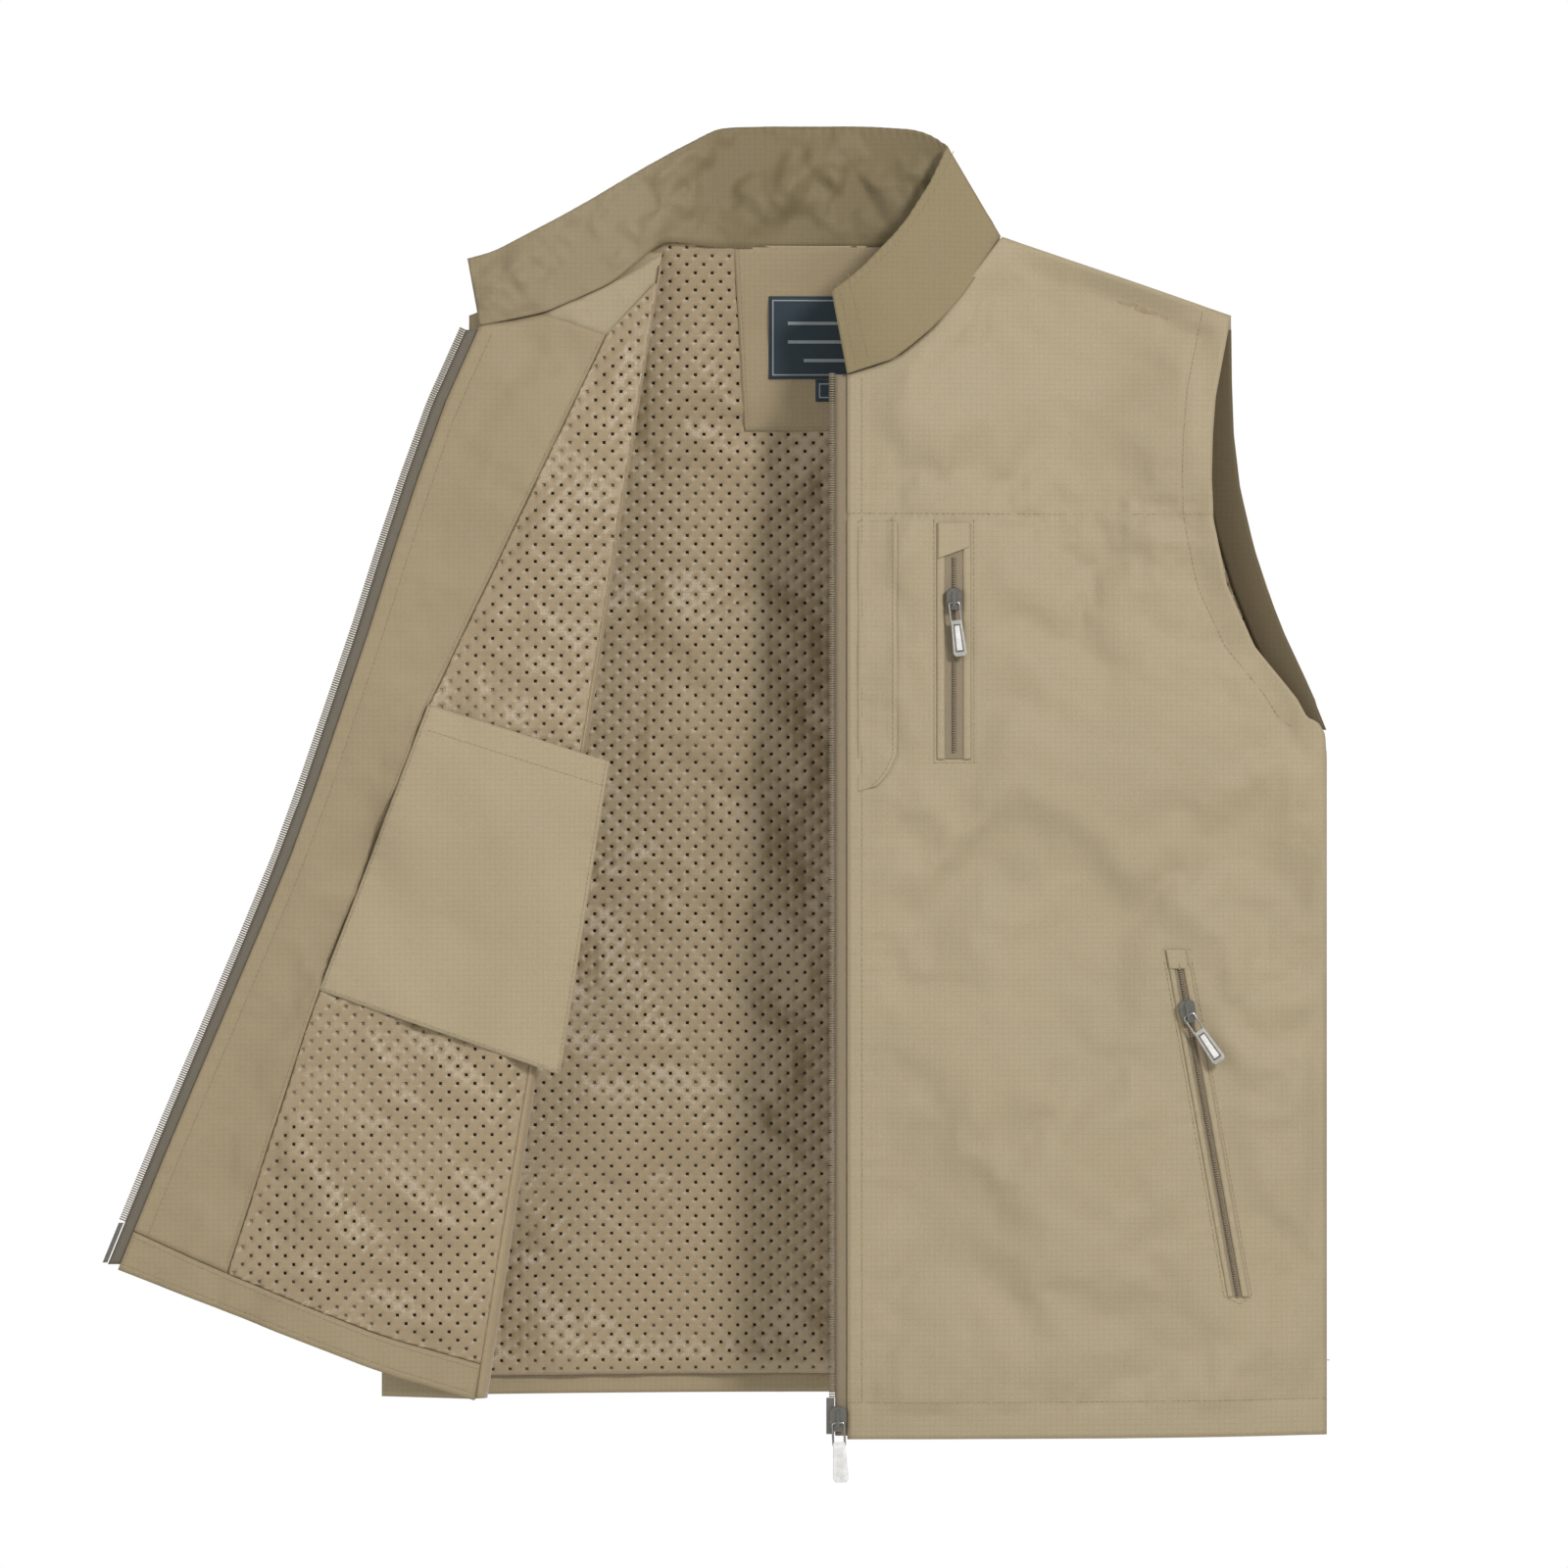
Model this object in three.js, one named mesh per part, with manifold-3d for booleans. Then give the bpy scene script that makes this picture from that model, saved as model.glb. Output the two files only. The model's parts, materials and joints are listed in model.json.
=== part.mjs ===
// A light sleeveless vest with a stand collar and a full-length front zip, hanging upright.
// The wearer's left front is closed and the right front is folded open.
// Millimetres. +X to the wearer's left, +Y to the wearer's back, +Z up. The origin is the middle
// of the neck opening, level with the centre back neck seam.
import * as THREE from "three";
import { mergeVertices } from "three/addons/utils/BufferGeometryUtils.js";
import Module from "manifold-3d";

const wasm = await Module();
wasm.setup();

// Driving dimensions
const LEFT_HALF = 285; // centre to the left side seam
const RIGHT_HALF = LEFT_HALF - 25; // centre to the right side seam, drawn in a little as it hangs
const FRONT_HEM = -686; // hem of the closed left front
const BACK_HEM = -664; // hem of the back and of the open side
const NECK_HALF = 97; // centre to the neck point, where collar and shoulder meet
const NECK_RISE = 4.5; // neck point above the back neck seam
const NECK_DROP = -76; // front neck seam at the zip
const SHOULDER = [230, -41]; // left shoulder tip
const YOKE_SEAM = -158;
const COLLAR_TOP = 69; // back of the collar
const ARMHOLE_END = -280; // foot of the armhole
const BACK_CROWN = 42; // how far the back stands out from the side seams
const BACK_CROWN_RISE = 90;
const FOLD_TOP = { x: 98, y: -6, z: -5 };
const FOLD_FOOT = { left: 218, right: 205, y: -30 };
const FOLD_GAP = { top: 0.45, foot: 6 }; // half the room between the two layers of the open fold
const OPEN_SLOPE = Math.tan(THREE.MathUtils.degToRad(7)); // the open front leans forward
const ZIP_NECK_Y = -30;
const ZIP_HEM_Y = -48;
const ZIP_EDGE = 8; // centre to the shell's edge beside the zip
const TAPE_WIDTH = 9;
const TEETH_WIDTH = 3.2;
const TEETH_CLEARANCE = 0.3; // between the open side's teeth and their tape
const FACING_HEM = 21; // height of the hem bands
const ZIP_BOX = { width: 5, foot: FRONT_HEM + 3, top: FRONT_HEM + 24 };
const ZIP_PIN = { width: 3.1, foot: -584, top: -561 };
const FACING_INNER = 60; // inner edge of the facing beside the zip
const FACING_TOP = -82; // top of the closed front's facing and lining
const LINING_LIFT = 9; // the lining ends this far above the hem
const SEAM_GAP = 0.2; // each panel's clearance at its edges
const CHEST_ZIP = { x: 69.5, top: -161, foot: -297, width: 18.5 };
const CHEST_GARAGE = 21; // height of the cloth hood over the chest zip's top end
const HAND_ZIP = { top: [199, -415], foot: [233, -606], width: 11 };
const RIGHT_DRAW = RIGHT_HALF / LEFT_HALF; // the hidden side is drawn in by this much
const COIL_WIDTH = 5;
const SLIT_X = 37; // slit pocket's edge
const SLIT_FOOT = -316;
const SLIT_INNER = ZIP_EDGE + 6; // where the flap joins the panel beside the zip
const CHEST_BAG = { left: 18, right: 122, foot: -335, top: -166 };
const HAND_BAG = { foot: -636, top: -405, fromFold: 4, fromSide: 12 };
const NECK_PATCH = { foot: -107, footHalf: 51, topHalf: 57, top: -1 }; // facing below the neck seam
const NAME_PATCH = { half: 37, foot: -77, top: -29 };
const SIZE_PATCH = { half: 10, height: 13 };
const ARMHOLE_BAND = 20; // width of the armhole facing
const TAB = { width: 8, length: 20, thick: 2.4 };

// Cloth layers, measured inward from the outer face of the shell: [near, far]
const SHELL = [0, 0.8];
const inside = (near, far) => [SHELL[1] + near, SHELL[1] + far]; // depths from the shell's inner face
const BAG = inside(0.3, 0.6); // pocket bags and hem bands lie between shell and lining
const LINING = inside(0.95, 1.5);
const INNER_PATCH = inside(1.8, 2.3);
const TRIM = [-0.8, -0.3]; // cloth or tape on the outside of the shell
const COIL = [-1.9, -1.1];
const TAPE = inside(0.25, 0.65); // front zip tape, between shell and facing
const TEETH = [0.2, 2.2];
const BOX_DEPTH = [-0.2, 2.6];
const STACK = SHELL[1] + 1.65; // cloth between the seam line of front and back and the shell's outer face
const NECK_FACING = inside(2.1, 2.5);
const LABEL = inside(2.9, 3.25);
const COLLAR_FACING = inside(0.6, 1.1);

const COLOURS = {
  shell: [0xb2a382, 0.8],
  lining: [0xaa946e, 0.6],
  tape: [0xa8977f, 0.7],
  label: [0x2d3a44, 0.7],
  metal: [0x5c5c5a, 0.35],
  pull: [0xc4c4c0, 0.4],
  bag: [0xaa9c80, 0.8],
};

const vest = new THREE.Group();
const { lerp, clamp } = THREE.MathUtils;

function addPiece(name, geometry, finish) {
  const [color, roughness] = COLOURS[finish];
  const metalness = finish === "metal" ? 0.9 : 0;
  const mesh = new THREE.Mesh(geometry, new THREE.MeshStandardMaterial({ color, roughness, metalness }));
  mesh.name = name;
  vest.add(mesh);
  return mesh;
}

// A line through [x, z] points as a function of 0..1 along its length.
function line(...points) {
  const run = [0];
  for (let i = 1; i < points.length; i++) {
    const step = Math.hypot(points[i][0] - points[i - 1][0], points[i][1] - points[i - 1][1]);
    run.push(run[i - 1] + step);
  }
  return (t) => {
    const at = clamp(t, 0, 1) * run.at(-1);
    let i = 1;
    while (i < points.length - 1 && run[i] < at) i++;
    const s = (at - run[i - 1]) / (run[i] - run[i - 1]);
    return [lerp(points[i - 1][0], points[i][0], s), lerp(points[i - 1][1], points[i][1], s)];
  };
}

// The x of an upright edge, given as [x, z] points from the top down, at the height z.
function edgeX(points, z) {
  let i = 1;
  while (i < points.length - 1 && points[i][1] > z) i++;
  const [[x0, z0], [x1, z1]] = [points[i - 1], points[i]];
  return lerp(x0, x1, (z - z0) / (z1 - z0));
}

// A stretch of an upright edge from the height foot up to the height top.
const upright = (points, foot, top) => {
  const inside = points.filter(([, z]) => z < top && z > foot).reverse();
  return line([edgeX(points, foot), foot], ...inside, [edgeX(points, top), top]);
};

// Upright edges
const foldX = (z, side) => {
  const foot = side > 0 ? FOLD_FOOT.left : FOLD_FOOT.right;
  const hem = side > 0 ? FRONT_HEM : BACK_HEM;
  return side * lerp(FOLD_TOP.x, foot, (FOLD_TOP.z - z) / (FOLD_TOP.z - hem));
};
const foldY = (z) => lerp(FOLD_TOP.y, FOLD_FOOT.y, (FOLD_TOP.z - z) / (FOLD_TOP.z - BACK_HEM));
const foldGap = (z) => lerp(FOLD_GAP.top, FOLD_GAP.foot, (FOLD_TOP.z - z) / (FOLD_TOP.z - BACK_HEM));
const foldEdge = (side) => [[foldX(80, side), 80], [foldX(-750, side), -750]];

const frontArmhole = [
  SHOULDER, [221, -85], [218, -124], [219.5, -166], [229, -205], [248, -241], [LEFT_HALF, ARMHOLE_END],
];
const backArmhole = [
  SHOULDER, [231, -102], [237, -152], [254, -209], [LEFT_HALF, ARMHOLE_END + 4],
];
const sided = (points, side) => points.map(([x, z]) => [side > 0 ? x : -x * RIGHT_DRAW, z]);
const outerEdge = (armhole, side, hem) => sided([...armhole, [LEFT_HALF, hem - 20]], side);

// Free edge of the open right front, from the collar seam to the hem
const freeEdge = [
  [-203, -48], [-227, -102], [-248, -165], [-267, -226], [-305, -339], [-332, -405], [-376, -509],
  [-408, -588],
];
const openCollarCorner = [-210, -9];
const openHem = [[-408, -588], [-257, -648], [foldX(BACK_HEM, -1), BACK_HEM]];

// Height of the shoulder line, carried smoothly across the neck
const shoulderZ = (x) => lerp(
  NECK_RISE, SHOULDER[1], (Math.hypot(x, NECK_HALF / 2) - NECK_HALF) / (SHOULDER[0] - NECK_HALF),
);

// Skins: the y of the shell's outer face at x, z.
// The closed front is ruled between the fold, the zip and the side, so it can swing on the fold.
function frontSkin(x, z) {
  const side = x < 0 ? -1 : 1;
  const fold = Math.abs(foldX(z, side));
  const across = Math.abs(x);
  if (across < fold) {
    const zip = lerp(ZIP_NECK_Y, ZIP_HEM_Y, (NECK_DROP - z) / (NECK_DROP - FRONT_HEM));
    const t = 1 - across / fold;
    return lerp(foldY(z), zip, 1 - (1 - t) ** 2);
  }
  const rim = Math.abs(edgeX(outerEdge(frontArmhole, side, FRONT_HEM), Math.min(z, SHOULDER[1])));
  const t = clamp((across - fold) / (rim - fold), 0, 1);
  const open = Math.sin(Math.PI * clamp((SHOULDER[1] - z) / (SHOULDER[1] - ARMHOLE_END), 0, 1));
  return lerp(foldY(z), -STACK - 11 * open, t);
}

function backSkin(x, z) {
  const half = x < 0 ? RIGHT_HALF : LEFT_HALF;
  const below = Math.max(0, shoulderZ(x) - z);
  return STACK + BACK_CROWN * Math.max(0, 1 - (x / half) ** 2) * (1 - Math.exp(-below / BACK_CROWN_RISE));
}

// The open right front is a flat sheet that leans forward from the fold.
const openSkin = (x, z) => foldY(z) - 2 * foldGap(z) - OPEN_SLOPE * (foldX(z, -1) - x);

// A closed sheet of cloth between four edges. The edges run left to right and foot to top.
// A grade over 1 packs the rows closer at the top, where the cloth curves most.
// Its layers count inward: towards +Y on the closed front, towards -Y on the back and open front.
function clothSheet(edges, skin, [near, far], inward, [columns, rows, grade = 1]) {
  const { left, right, foot, top } = edges;
  const [footLeft, footRight, topLeft, topRight] = [left(0), right(0), left(1), right(1)];
  const sheet = new THREE.BoxGeometry(1, 1, 1, columns, rows, 1);
  const position = sheet.getAttribute("position");
  for (let i = 0; i < position.count; i++) {
    const [a, c] = [position.getX(i) + 0.5, position.getZ(i) + 0.5];
    const b = 1 - (0.5 - position.getY(i)) ** grade;
    const width = Math.hypot(right(b)[0] - left(b)[0], right(b)[1] - left(b)[1]);
    const height = Math.hypot(top(a)[0] - foot(a)[0], top(a)[1] - foot(a)[1]);
    const u = lerp(SEAM_GAP / width, 1 - SEAM_GAP / width, a);
    const v = lerp(SEAM_GAP / height, 1 - SEAM_GAP / height, b);
    const [x, z] = [0, 1].map((k) => lerp(foot(u)[k], top(u)[k], v) + lerp(left(v)[k], right(v)[k], u)
      - lerp(lerp(footLeft[k], footRight[k], u), lerp(topLeft[k], topRight[k], u), v));
    const layers = [near, far].map((d) => skin(x, z, u) + inward * d).sort((p, q) => q - p);
    position.setXYZ(i, x, lerp(layers[0], layers[1], c), z);
  }
  sheet.computeVertexNormals();
  return sheet;
}

const closedFront = (edges, layer, grid) => clothSheet(edges, frontSkin, layer, 1, grid);
const backSheet = (edges, layer, grid) => clothSheet(edges, backSkin, layer, -1, grid);
const openSheet = (edges, layer, grid) => clothSheet(edges, openSkin, layer, -1, grid);

// A rectangle or slanted strip between two upright lines
const patch = (footLeft, footRight, topLeft, topRight) => ({
  left: line(footLeft, topLeft), right: line(footRight, topRight),
  foot: line(footLeft, footRight), top: line(topLeft, topRight),
});
const block = (x0, x1, z0, z1) => patch([x0, z0], [x1, z0], [x0, z1], [x1, z1]);

// ---- Back of the vest
const neckPoint = { left: [NECK_HALF, NECK_RISE], right: [-NECK_HALF, NECK_RISE] };
const backNeck = [neckPoint.right, [-70, 0.8], [-40, 0], [40, 0], [70, 0.8], neckPoint.left];
const tips = { left: SHOULDER, right: sided([SHOULDER], -1)[0] };

function backEdges(foot) {
  const [rightRim, leftRim] = [outerEdge(backArmhole, -1, BACK_HEM), outerEdge(backArmhole, 1, BACK_HEM)];
  return {
    left: upright(rightRim, foot, SHOULDER[1]), right: upright(leftRim, foot, SHOULDER[1]),
    foot: line([-RIGHT_HALF, foot], [LEFT_HALF, foot]), top: line(tips.right, ...backNeck, tips.left),
  };
}
addPiece("back_shell", backSheet(backEdges(BACK_HEM), SHELL, [22, 14, 1.8]), "shell");
addPiece("back_lining", backSheet(backEdges(BACK_HEM + LINING_LIFT), LINING, [22, 14, 1.8]), "lining");
addPiece(
  "back_hem_band",
  backSheet(block(-RIGHT_HALF, LEFT_HALF, BACK_HEM, BACK_HEM + FACING_HEM), BAG, [22, 1]), "shell",
);
const { foot: patchFoot, footHalf, topHalf, top: patchTop } = NECK_PATCH;
addPiece(
  "back_neck_facing",
  backSheet(
    patch([-footHalf, patchFoot], [footHalf, patchFoot], [-topHalf, patchTop], [topHalf, patchTop]),
    NECK_FACING, [10, 10],
  ), "shell",
);
addPiece(
  "neck_label", backSheet(block(-NAME_PATCH.half, NAME_PATCH.half, NAME_PATCH.foot, NAME_PATCH.top), LABEL, [4, 2]),
  "label",
);
const sizeFoot = NAME_PATCH.foot - SIZE_PATCH.height;
addPiece(
  "size_tab", backSheet(block(-SIZE_PATCH.half, SIZE_PATCH.half, sizeFoot, NAME_PATCH.foot), LABEL, [1, 1]),
  "label",
);

// ---- Torso's front sides: yoke, side panel, lining and hem band from the fold to the armhole
for (const [name, side] of [["left", 1], ["right", -1]]) {
  const hem = side > 0 ? FRONT_HEM : BACK_HEM;
  const rim = outerEdge(frontArmhole, side, hem);
  const fold = foldEdge(side);
  const [near, far] = side > 0 ? [fold, rim] : [rim, fold];
  const level = (z) => line([edgeX(near, z), z], [edgeX(far, z), z]);
  const start = [foldX(FOLD_TOP.z, side), FOLD_TOP.z];
  const shoulder = [start, [side * (NECK_HALF + 6), NECK_RISE - 4], tips[name]];
  if (side < 0) shoulder.reverse();
  const yokeTop = line(...shoulder);
  const panel = (foot, top) => ({
    left: upright(near, foot, top), right: upright(far, foot, top), foot: level(foot), top: level(top),
  });
  const inner = upright(fold, YOKE_SEAM, FOLD_TOP.z);
  const outer = upright(rim, YOKE_SEAM, SHOULDER[1]);
  const yoke = { foot: level(YOKE_SEAM), top: yokeTop };
  [yoke.left, yoke.right] = side > 0 ? [inner, outer] : [outer, inner];
  addPiece(`${name}_side_yoke`, closedFront(yoke, SHELL, [6, 5]), "shell");
  addPiece(`${name}_side_panel`, closedFront(panel(hem, YOKE_SEAM), SHELL, [5, 14]), "shell");
  addPiece(`${name}_side_yoke_lining`, closedFront(yoke, LINING, [6, 5]), "lining");
  addPiece(`${name}_side_lining`, closedFront(panel(hem + LINING_LIFT, YOKE_SEAM), LINING, [5, 14]), "lining");
  addPiece(`${name}_side_hem_band`, closedFront(panel(hem, hem + FACING_HEM), BAG, [5, 1]), "shell");

  // Armhole facing along the back of the armhole, inside
  const back = outerEdge(backArmhole, side, BACK_HEM);
  const shifted = back.map(([x, z]) => [x - side * ARMHOLE_BAND, z]);
  const [facingNear, facingFar] = side > 0 ? [shifted, back] : [back, shifted];
  const facing = {
    left: upright(facingNear, ARMHOLE_END, SHOULDER[1] - 8),
    right: upright(facingFar, ARMHOLE_END, SHOULDER[1] - 8),
  };
  facing.foot = line(facing.left(0), facing.right(0));
  facing.top = line(facing.left(1), facing.right(1));
  addPiece(`${name}_armhole_facing`, backSheet(facing, NECK_FACING, [1, 8]), "shell");

  // Hand pocket: a slanted zip on the side panel and the bag behind it
  const [[topX, topZ], [footX, footZ]] = sided([HAND_ZIP.top, HAND_ZIP.foot], side);
  const strip = (width, trim) => {
    const half = width / 2;
    return patch([footX - half, footZ + trim], [footX + half, footZ + trim],
      [topX - half, topZ - trim], [topX + half, topZ - trim]);
  };
  addPiece(`${name}_hand_zip_tape`, closedFront(strip(HAND_ZIP.width, 0), TRIM, [1, 8]), "tape");
  addPiece(`${name}_hand_zip_coil`, closedFront(strip(COIL_WIDTH, 4), COIL, [1, 8]), "tape");
  const bagEdge = (z) => [edgeX(fold, z) + side * HAND_BAG.fromFold, z];
  const bagReach = side * (Math.abs(edgeX(rim, HAND_BAG.foot)) - HAND_BAG.fromSide);
  const bag = patch(
    bagEdge(HAND_BAG.foot), [bagReach, HAND_BAG.foot], bagEdge(HAND_BAG.top), [bagReach, HAND_BAG.top],
  );
  if (side < 0) {
    [bag.left, bag.right] = [bag.right, bag.left];
    bag.foot = line(bag.left(0), bag.right(0));
    bag.top = line(bag.left(1), bag.right(1));
  }
  addPiece(`${name}_hand_pocket_bag`, closedFront(bag, BAG, [5, 10]), "bag");
}

// ---- Left front, closed, from the fold to the zip
const leftFold = foldEdge(1);
const leftZipLine = [[ZIP_EDGE, 80], [ZIP_EDGE, -750]];
const frontNeck = [[ZIP_EDGE, NECK_DROP], [36, -67], [60, -47], [78, -27], [foldX(FOLD_TOP.z, 1), FOLD_TOP.z]];
const leftYoke = {
  left: upright(leftZipLine, YOKE_SEAM, NECK_DROP), right: upright(leftFold, YOKE_SEAM, FOLD_TOP.z),
  foot: line([ZIP_EDGE, YOKE_SEAM], [foldX(YOKE_SEAM, 1), YOKE_SEAM]), top: line(...frontNeck),
};
const leftPanel = (x, foot, top) => ({
  left: line([x, foot], [x, top]), right: upright(leftFold, foot, top),
  foot: line([x, foot], [foldX(foot, 1), foot]), top: line([x, top], [foldX(top, 1), top]),
});
addPiece("left_front_yoke", closedFront(leftYoke, SHELL, [7, 5]), "shell");
addPiece("left_front_panel", closedFront(leftPanel(ZIP_EDGE, FRONT_HEM, YOKE_SEAM), SHELL, [8, 12]), "shell");
const facingTop = FRONT_HEM + FACING_HEM;
addPiece(
  "left_front_facing", closedFront(block(ZIP_EDGE, FACING_INNER, facingTop, FACING_TOP), LINING, [2, 10]), "shell",
);
addPiece(
  "left_front_lining", closedFront(leftPanel(FACING_INNER, facingTop, FACING_TOP), LINING, [6, 12]), "lining",
);
addPiece("left_front_hem_band", closedFront(leftPanel(ZIP_EDGE, FRONT_HEM, facingTop), LINING, [6, 1]), "shell");
const tapeEdge = ZIP_EDGE + 2 - TAPE_WIDTH;
addPiece(
  "left_front_zip_tape", closedFront(block(tapeEdge, ZIP_EDGE + 2, FRONT_HEM + 2, NECK_DROP), TAPE, [1, 10]), "tape",
);
addPiece(
  "left_front_zip_teeth",
  closedFront(block(tapeEdge - TEETH_WIDTH, tapeEdge, ZIP_BOX.top, NECK_DROP), TEETH, [1, 10]), "tape",
);
addPiece(
  "left_zip_box",
  closedFront(block(tapeEdge - ZIP_BOX.width, tapeEdge, ZIP_BOX.foot, ZIP_BOX.top), BOX_DEPTH, [1, 1]), "metal",
);

// Chest pockets: a slit under a flap of the panel, and a zip with its cloth hood
const slitCurve = [[SLIT_INNER, SLIT_FOOT], [SLIT_X - 8, SLIT_FOOT + 5], [SLIT_X, SLIT_FOOT + 22]];
const slitFlap = {
  left: line([SLIT_INNER, SLIT_FOOT], [SLIT_INNER, YOKE_SEAM - 2]),
  right: line([SLIT_X, SLIT_FOOT + 22], [SLIT_X, YOKE_SEAM - 2]),
  foot: line(...slitCurve), top: line([SLIT_INNER, YOKE_SEAM - 2], [SLIT_X, YOKE_SEAM - 2]),
};
addPiece("slit_pocket_flap", closedFront(slitFlap, TRIM, [3, 8]), "shell");
const chestLeft = CHEST_ZIP.x - CHEST_ZIP.width / 2;
const chestRight = CHEST_ZIP.x + CHEST_ZIP.width / 2;
addPiece(
  "chest_zip_tape", closedFront(block(chestLeft, chestRight, CHEST_ZIP.foot, CHEST_ZIP.top), TRIM, [1, 6]), "tape",
);
const coilLeft = CHEST_ZIP.x - COIL_WIDTH / 2;
const hoodFoot = CHEST_ZIP.top - CHEST_GARAGE;
addPiece(
  "chest_zip_coil",
  closedFront(block(coilLeft, coilLeft + COIL_WIDTH, CHEST_ZIP.foot + 5, hoodFoot - 1), COIL, [1, 5]), "tape",
);
addPiece(
  "chest_zip_hood",
  closedFront(
    patch([chestLeft, hoodFoot], [chestRight, hoodFoot + 7], [chestLeft, CHEST_ZIP.top], [chestRight, CHEST_ZIP.top]),
    COIL, [2, 1],
  ), "shell",
);
const chestBag = block(CHEST_BAG.left, CHEST_BAG.right, CHEST_BAG.foot, CHEST_BAG.top);
addPiece("chest_pocket_bag", closedFront(chestBag, BAG, [4, 4]), "bag");

// ---- Right front, folded open. Its shell faces back and its facing and lining face forward.
const rightFold = foldEdge(-1);
const openYokeSeam = [[edgeX(freeEdge, -122), -122], [foldX(YOKE_SEAM, -1), YOKE_SEAM]];
const openNeck = [freeEdge[0], [-165, -40], [-125, -22], [foldX(FOLD_TOP.z, -1), FOLD_TOP.z]];
const openYoke = {
  left: upright(freeEdge, -122, -48), right: upright(rightFold, YOKE_SEAM, FOLD_TOP.z),
  foot: line(...openYokeSeam), top: line(...openNeck),
};
const openPanel = {
  left: upright(freeEdge, -588, -122), right: upright(rightFold, BACK_HEM, YOKE_SEAM),
  foot: line(...openHem), top: line(...openYokeSeam),
};
addPiece("right_front_yoke", openSheet(openYoke, SHELL, [6, 4]), "shell");
addPiece("right_front_panel", openSheet(openPanel, SHELL, [10, 12]), "shell");
const openFacingEdge = [[-130, -52], [-182, -162], [-232, -266], [-294, -429], [-344, -583]];
const openHemTop = openHem.map(([x, z], i) => [x, z + FACING_HEM + (i === 0 ? 2 : 0)]);
const hemTopLine = (x) => {
  const i = x < openHemTop[1][0] ? 0 : 1;
  const [[x0, z0], [x1, z1]] = [openHemTop[i], openHemTop[i + 1]];
  return lerp(z0, z1, (x - x0) / (x1 - x0));
};
const facingFootX = -346;
const facingFoot = [facingFootX, hemTopLine(facingFootX)];
const facingHemCorner = [edgeX(freeEdge, -566), -566];
addPiece(
  "right_front_facing",
  openSheet({
    left: upright(freeEdge, -566, -48), right: line(facingFoot, ...openFacingEdge.slice(0, 4).reverse()),
    foot: line(facingHemCorner, facingFoot), top: line(freeEdge[0], [-165, -40.5], openFacingEdge[0]),
  }, LINING, [2, 12]), "shell",
);
const liningFoot = [foldX(BACK_HEM + FACING_HEM, -1), BACK_HEM + FACING_HEM];
addPiece(
  "right_front_lining",
  openSheet({
    left: line(facingFoot, ...openFacingEdge.slice(0, 4).reverse()),
    right: upright(rightFold, BACK_HEM + FACING_HEM, -20),
    foot: line(facingFoot, [-257, hemTopLine(-257)], liningFoot),
    top: line(openFacingEdge[0], [foldX(-20, -1), -20]),
  }, LINING, [6, 12]), "lining",
);
addPiece(
  "right_front_hem_band",
  openSheet({
    left: line(openHem[0], facingHemCorner), right: upright(rightFold, BACK_HEM, BACK_HEM + FACING_HEM),
    foot: line(...openHem), top: line(facingHemCorner, facingFoot, [-257, hemTopLine(-257)], liningFoot),
  }, LINING, [10, 1]), "shell",
);
addPiece(
  "inner_patch_pocket",
  openSheet(patch([-294, -429], [-156, -478], [-232, -265], [-128, -298]), INNER_PATCH, [4, 4]), "shell",
);
const shiftEdge = (by) => freeEdge.map(([x, z]) => [x + by, z]);
const openStrip = (from, to, foot, top = -50) => {
  const [left, right] = [upright(shiftEdge(from), foot, top), upright(shiftEdge(to), foot, top)];
  return { left, right, foot: line(left(0), right(0)), top: line(left(1), right(1)) };
};
const openTape = 2 - TAPE_WIDTH;
const teethEdge = openTape - TEETH_CLEARANCE;
addPiece("right_front_zip_tape", openSheet(openStrip(openTape, 2, -585), TAPE, [1, 12]), "tape");
addPiece(
  "right_front_zip_teeth",
  openSheet(openStrip(teethEdge - TEETH_WIDTH, teethEdge, ZIP_PIN.top + 1), TEETH, [1, 12]), "tape",
);
addPiece(
  "right_zip_pin", openSheet(openStrip(teethEdge - ZIP_PIN.width, teethEdge, ZIP_PIN.foot, ZIP_PIN.top), TEETH, [1, 1]),
  "metal",
);

// ---- Collar: the back stand, and a half on each front
const collarSplit = { foot: neckPoint.right, top: [-87, 56] };
const collarEnd = { foot: neckPoint.left, top: [66, 57] };
const collarBack = {
  left: line(collarSplit.foot, collarSplit.top), right: line(collarEnd.foot, collarEnd.top),
  foot: line(collarSplit.foot, ...backNeck.slice(1)), top: line(collarSplit.top, [-65, COLLAR_TOP - 1],
    [-30, COLLAR_TOP], [20, COLLAR_TOP], [46, COLLAR_TOP - 2], [59, COLLAR_TOP - 6], collarEnd.top),
};
const collarBackSkin = (x, z, u) => lerp(-1, STACK, u) + 14 * Math.sin(Math.PI * u);
addPiece("collar_back", clothSheet(collarBack, collarBackSkin, SHELL, -1, [14, 3]), "shell");
addPiece("collar_back_facing", clothSheet(collarBack, collarBackSkin, COLLAR_FACING, -1, [14, 3]), "shell");

const collarLeft = {
  left: line([ZIP_EDGE, NECK_DROP], [-1, -28]), right: line(collarEnd.foot, collarEnd.top),
  foot: line(...frontNeck.slice(0, 4), collarEnd.foot),
  top: line([-1, -28], [14, -17], [40, 10], [57, 37], collarEnd.top),
};
const collarLeftSkin = (x, z, u) => lerp(ZIP_NECK_Y, -STACK, 1 - Math.cos(u * Math.PI / 2)) - 2;
addPiece("left_collar", clothSheet(collarLeft, collarLeftSkin, SHELL, 1, [9, 3]), "shell");
addPiece("left_collar_facing", clothSheet(collarLeft, collarLeftSkin, COLLAR_FACING, 1, [9, 3]), "shell");

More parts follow.
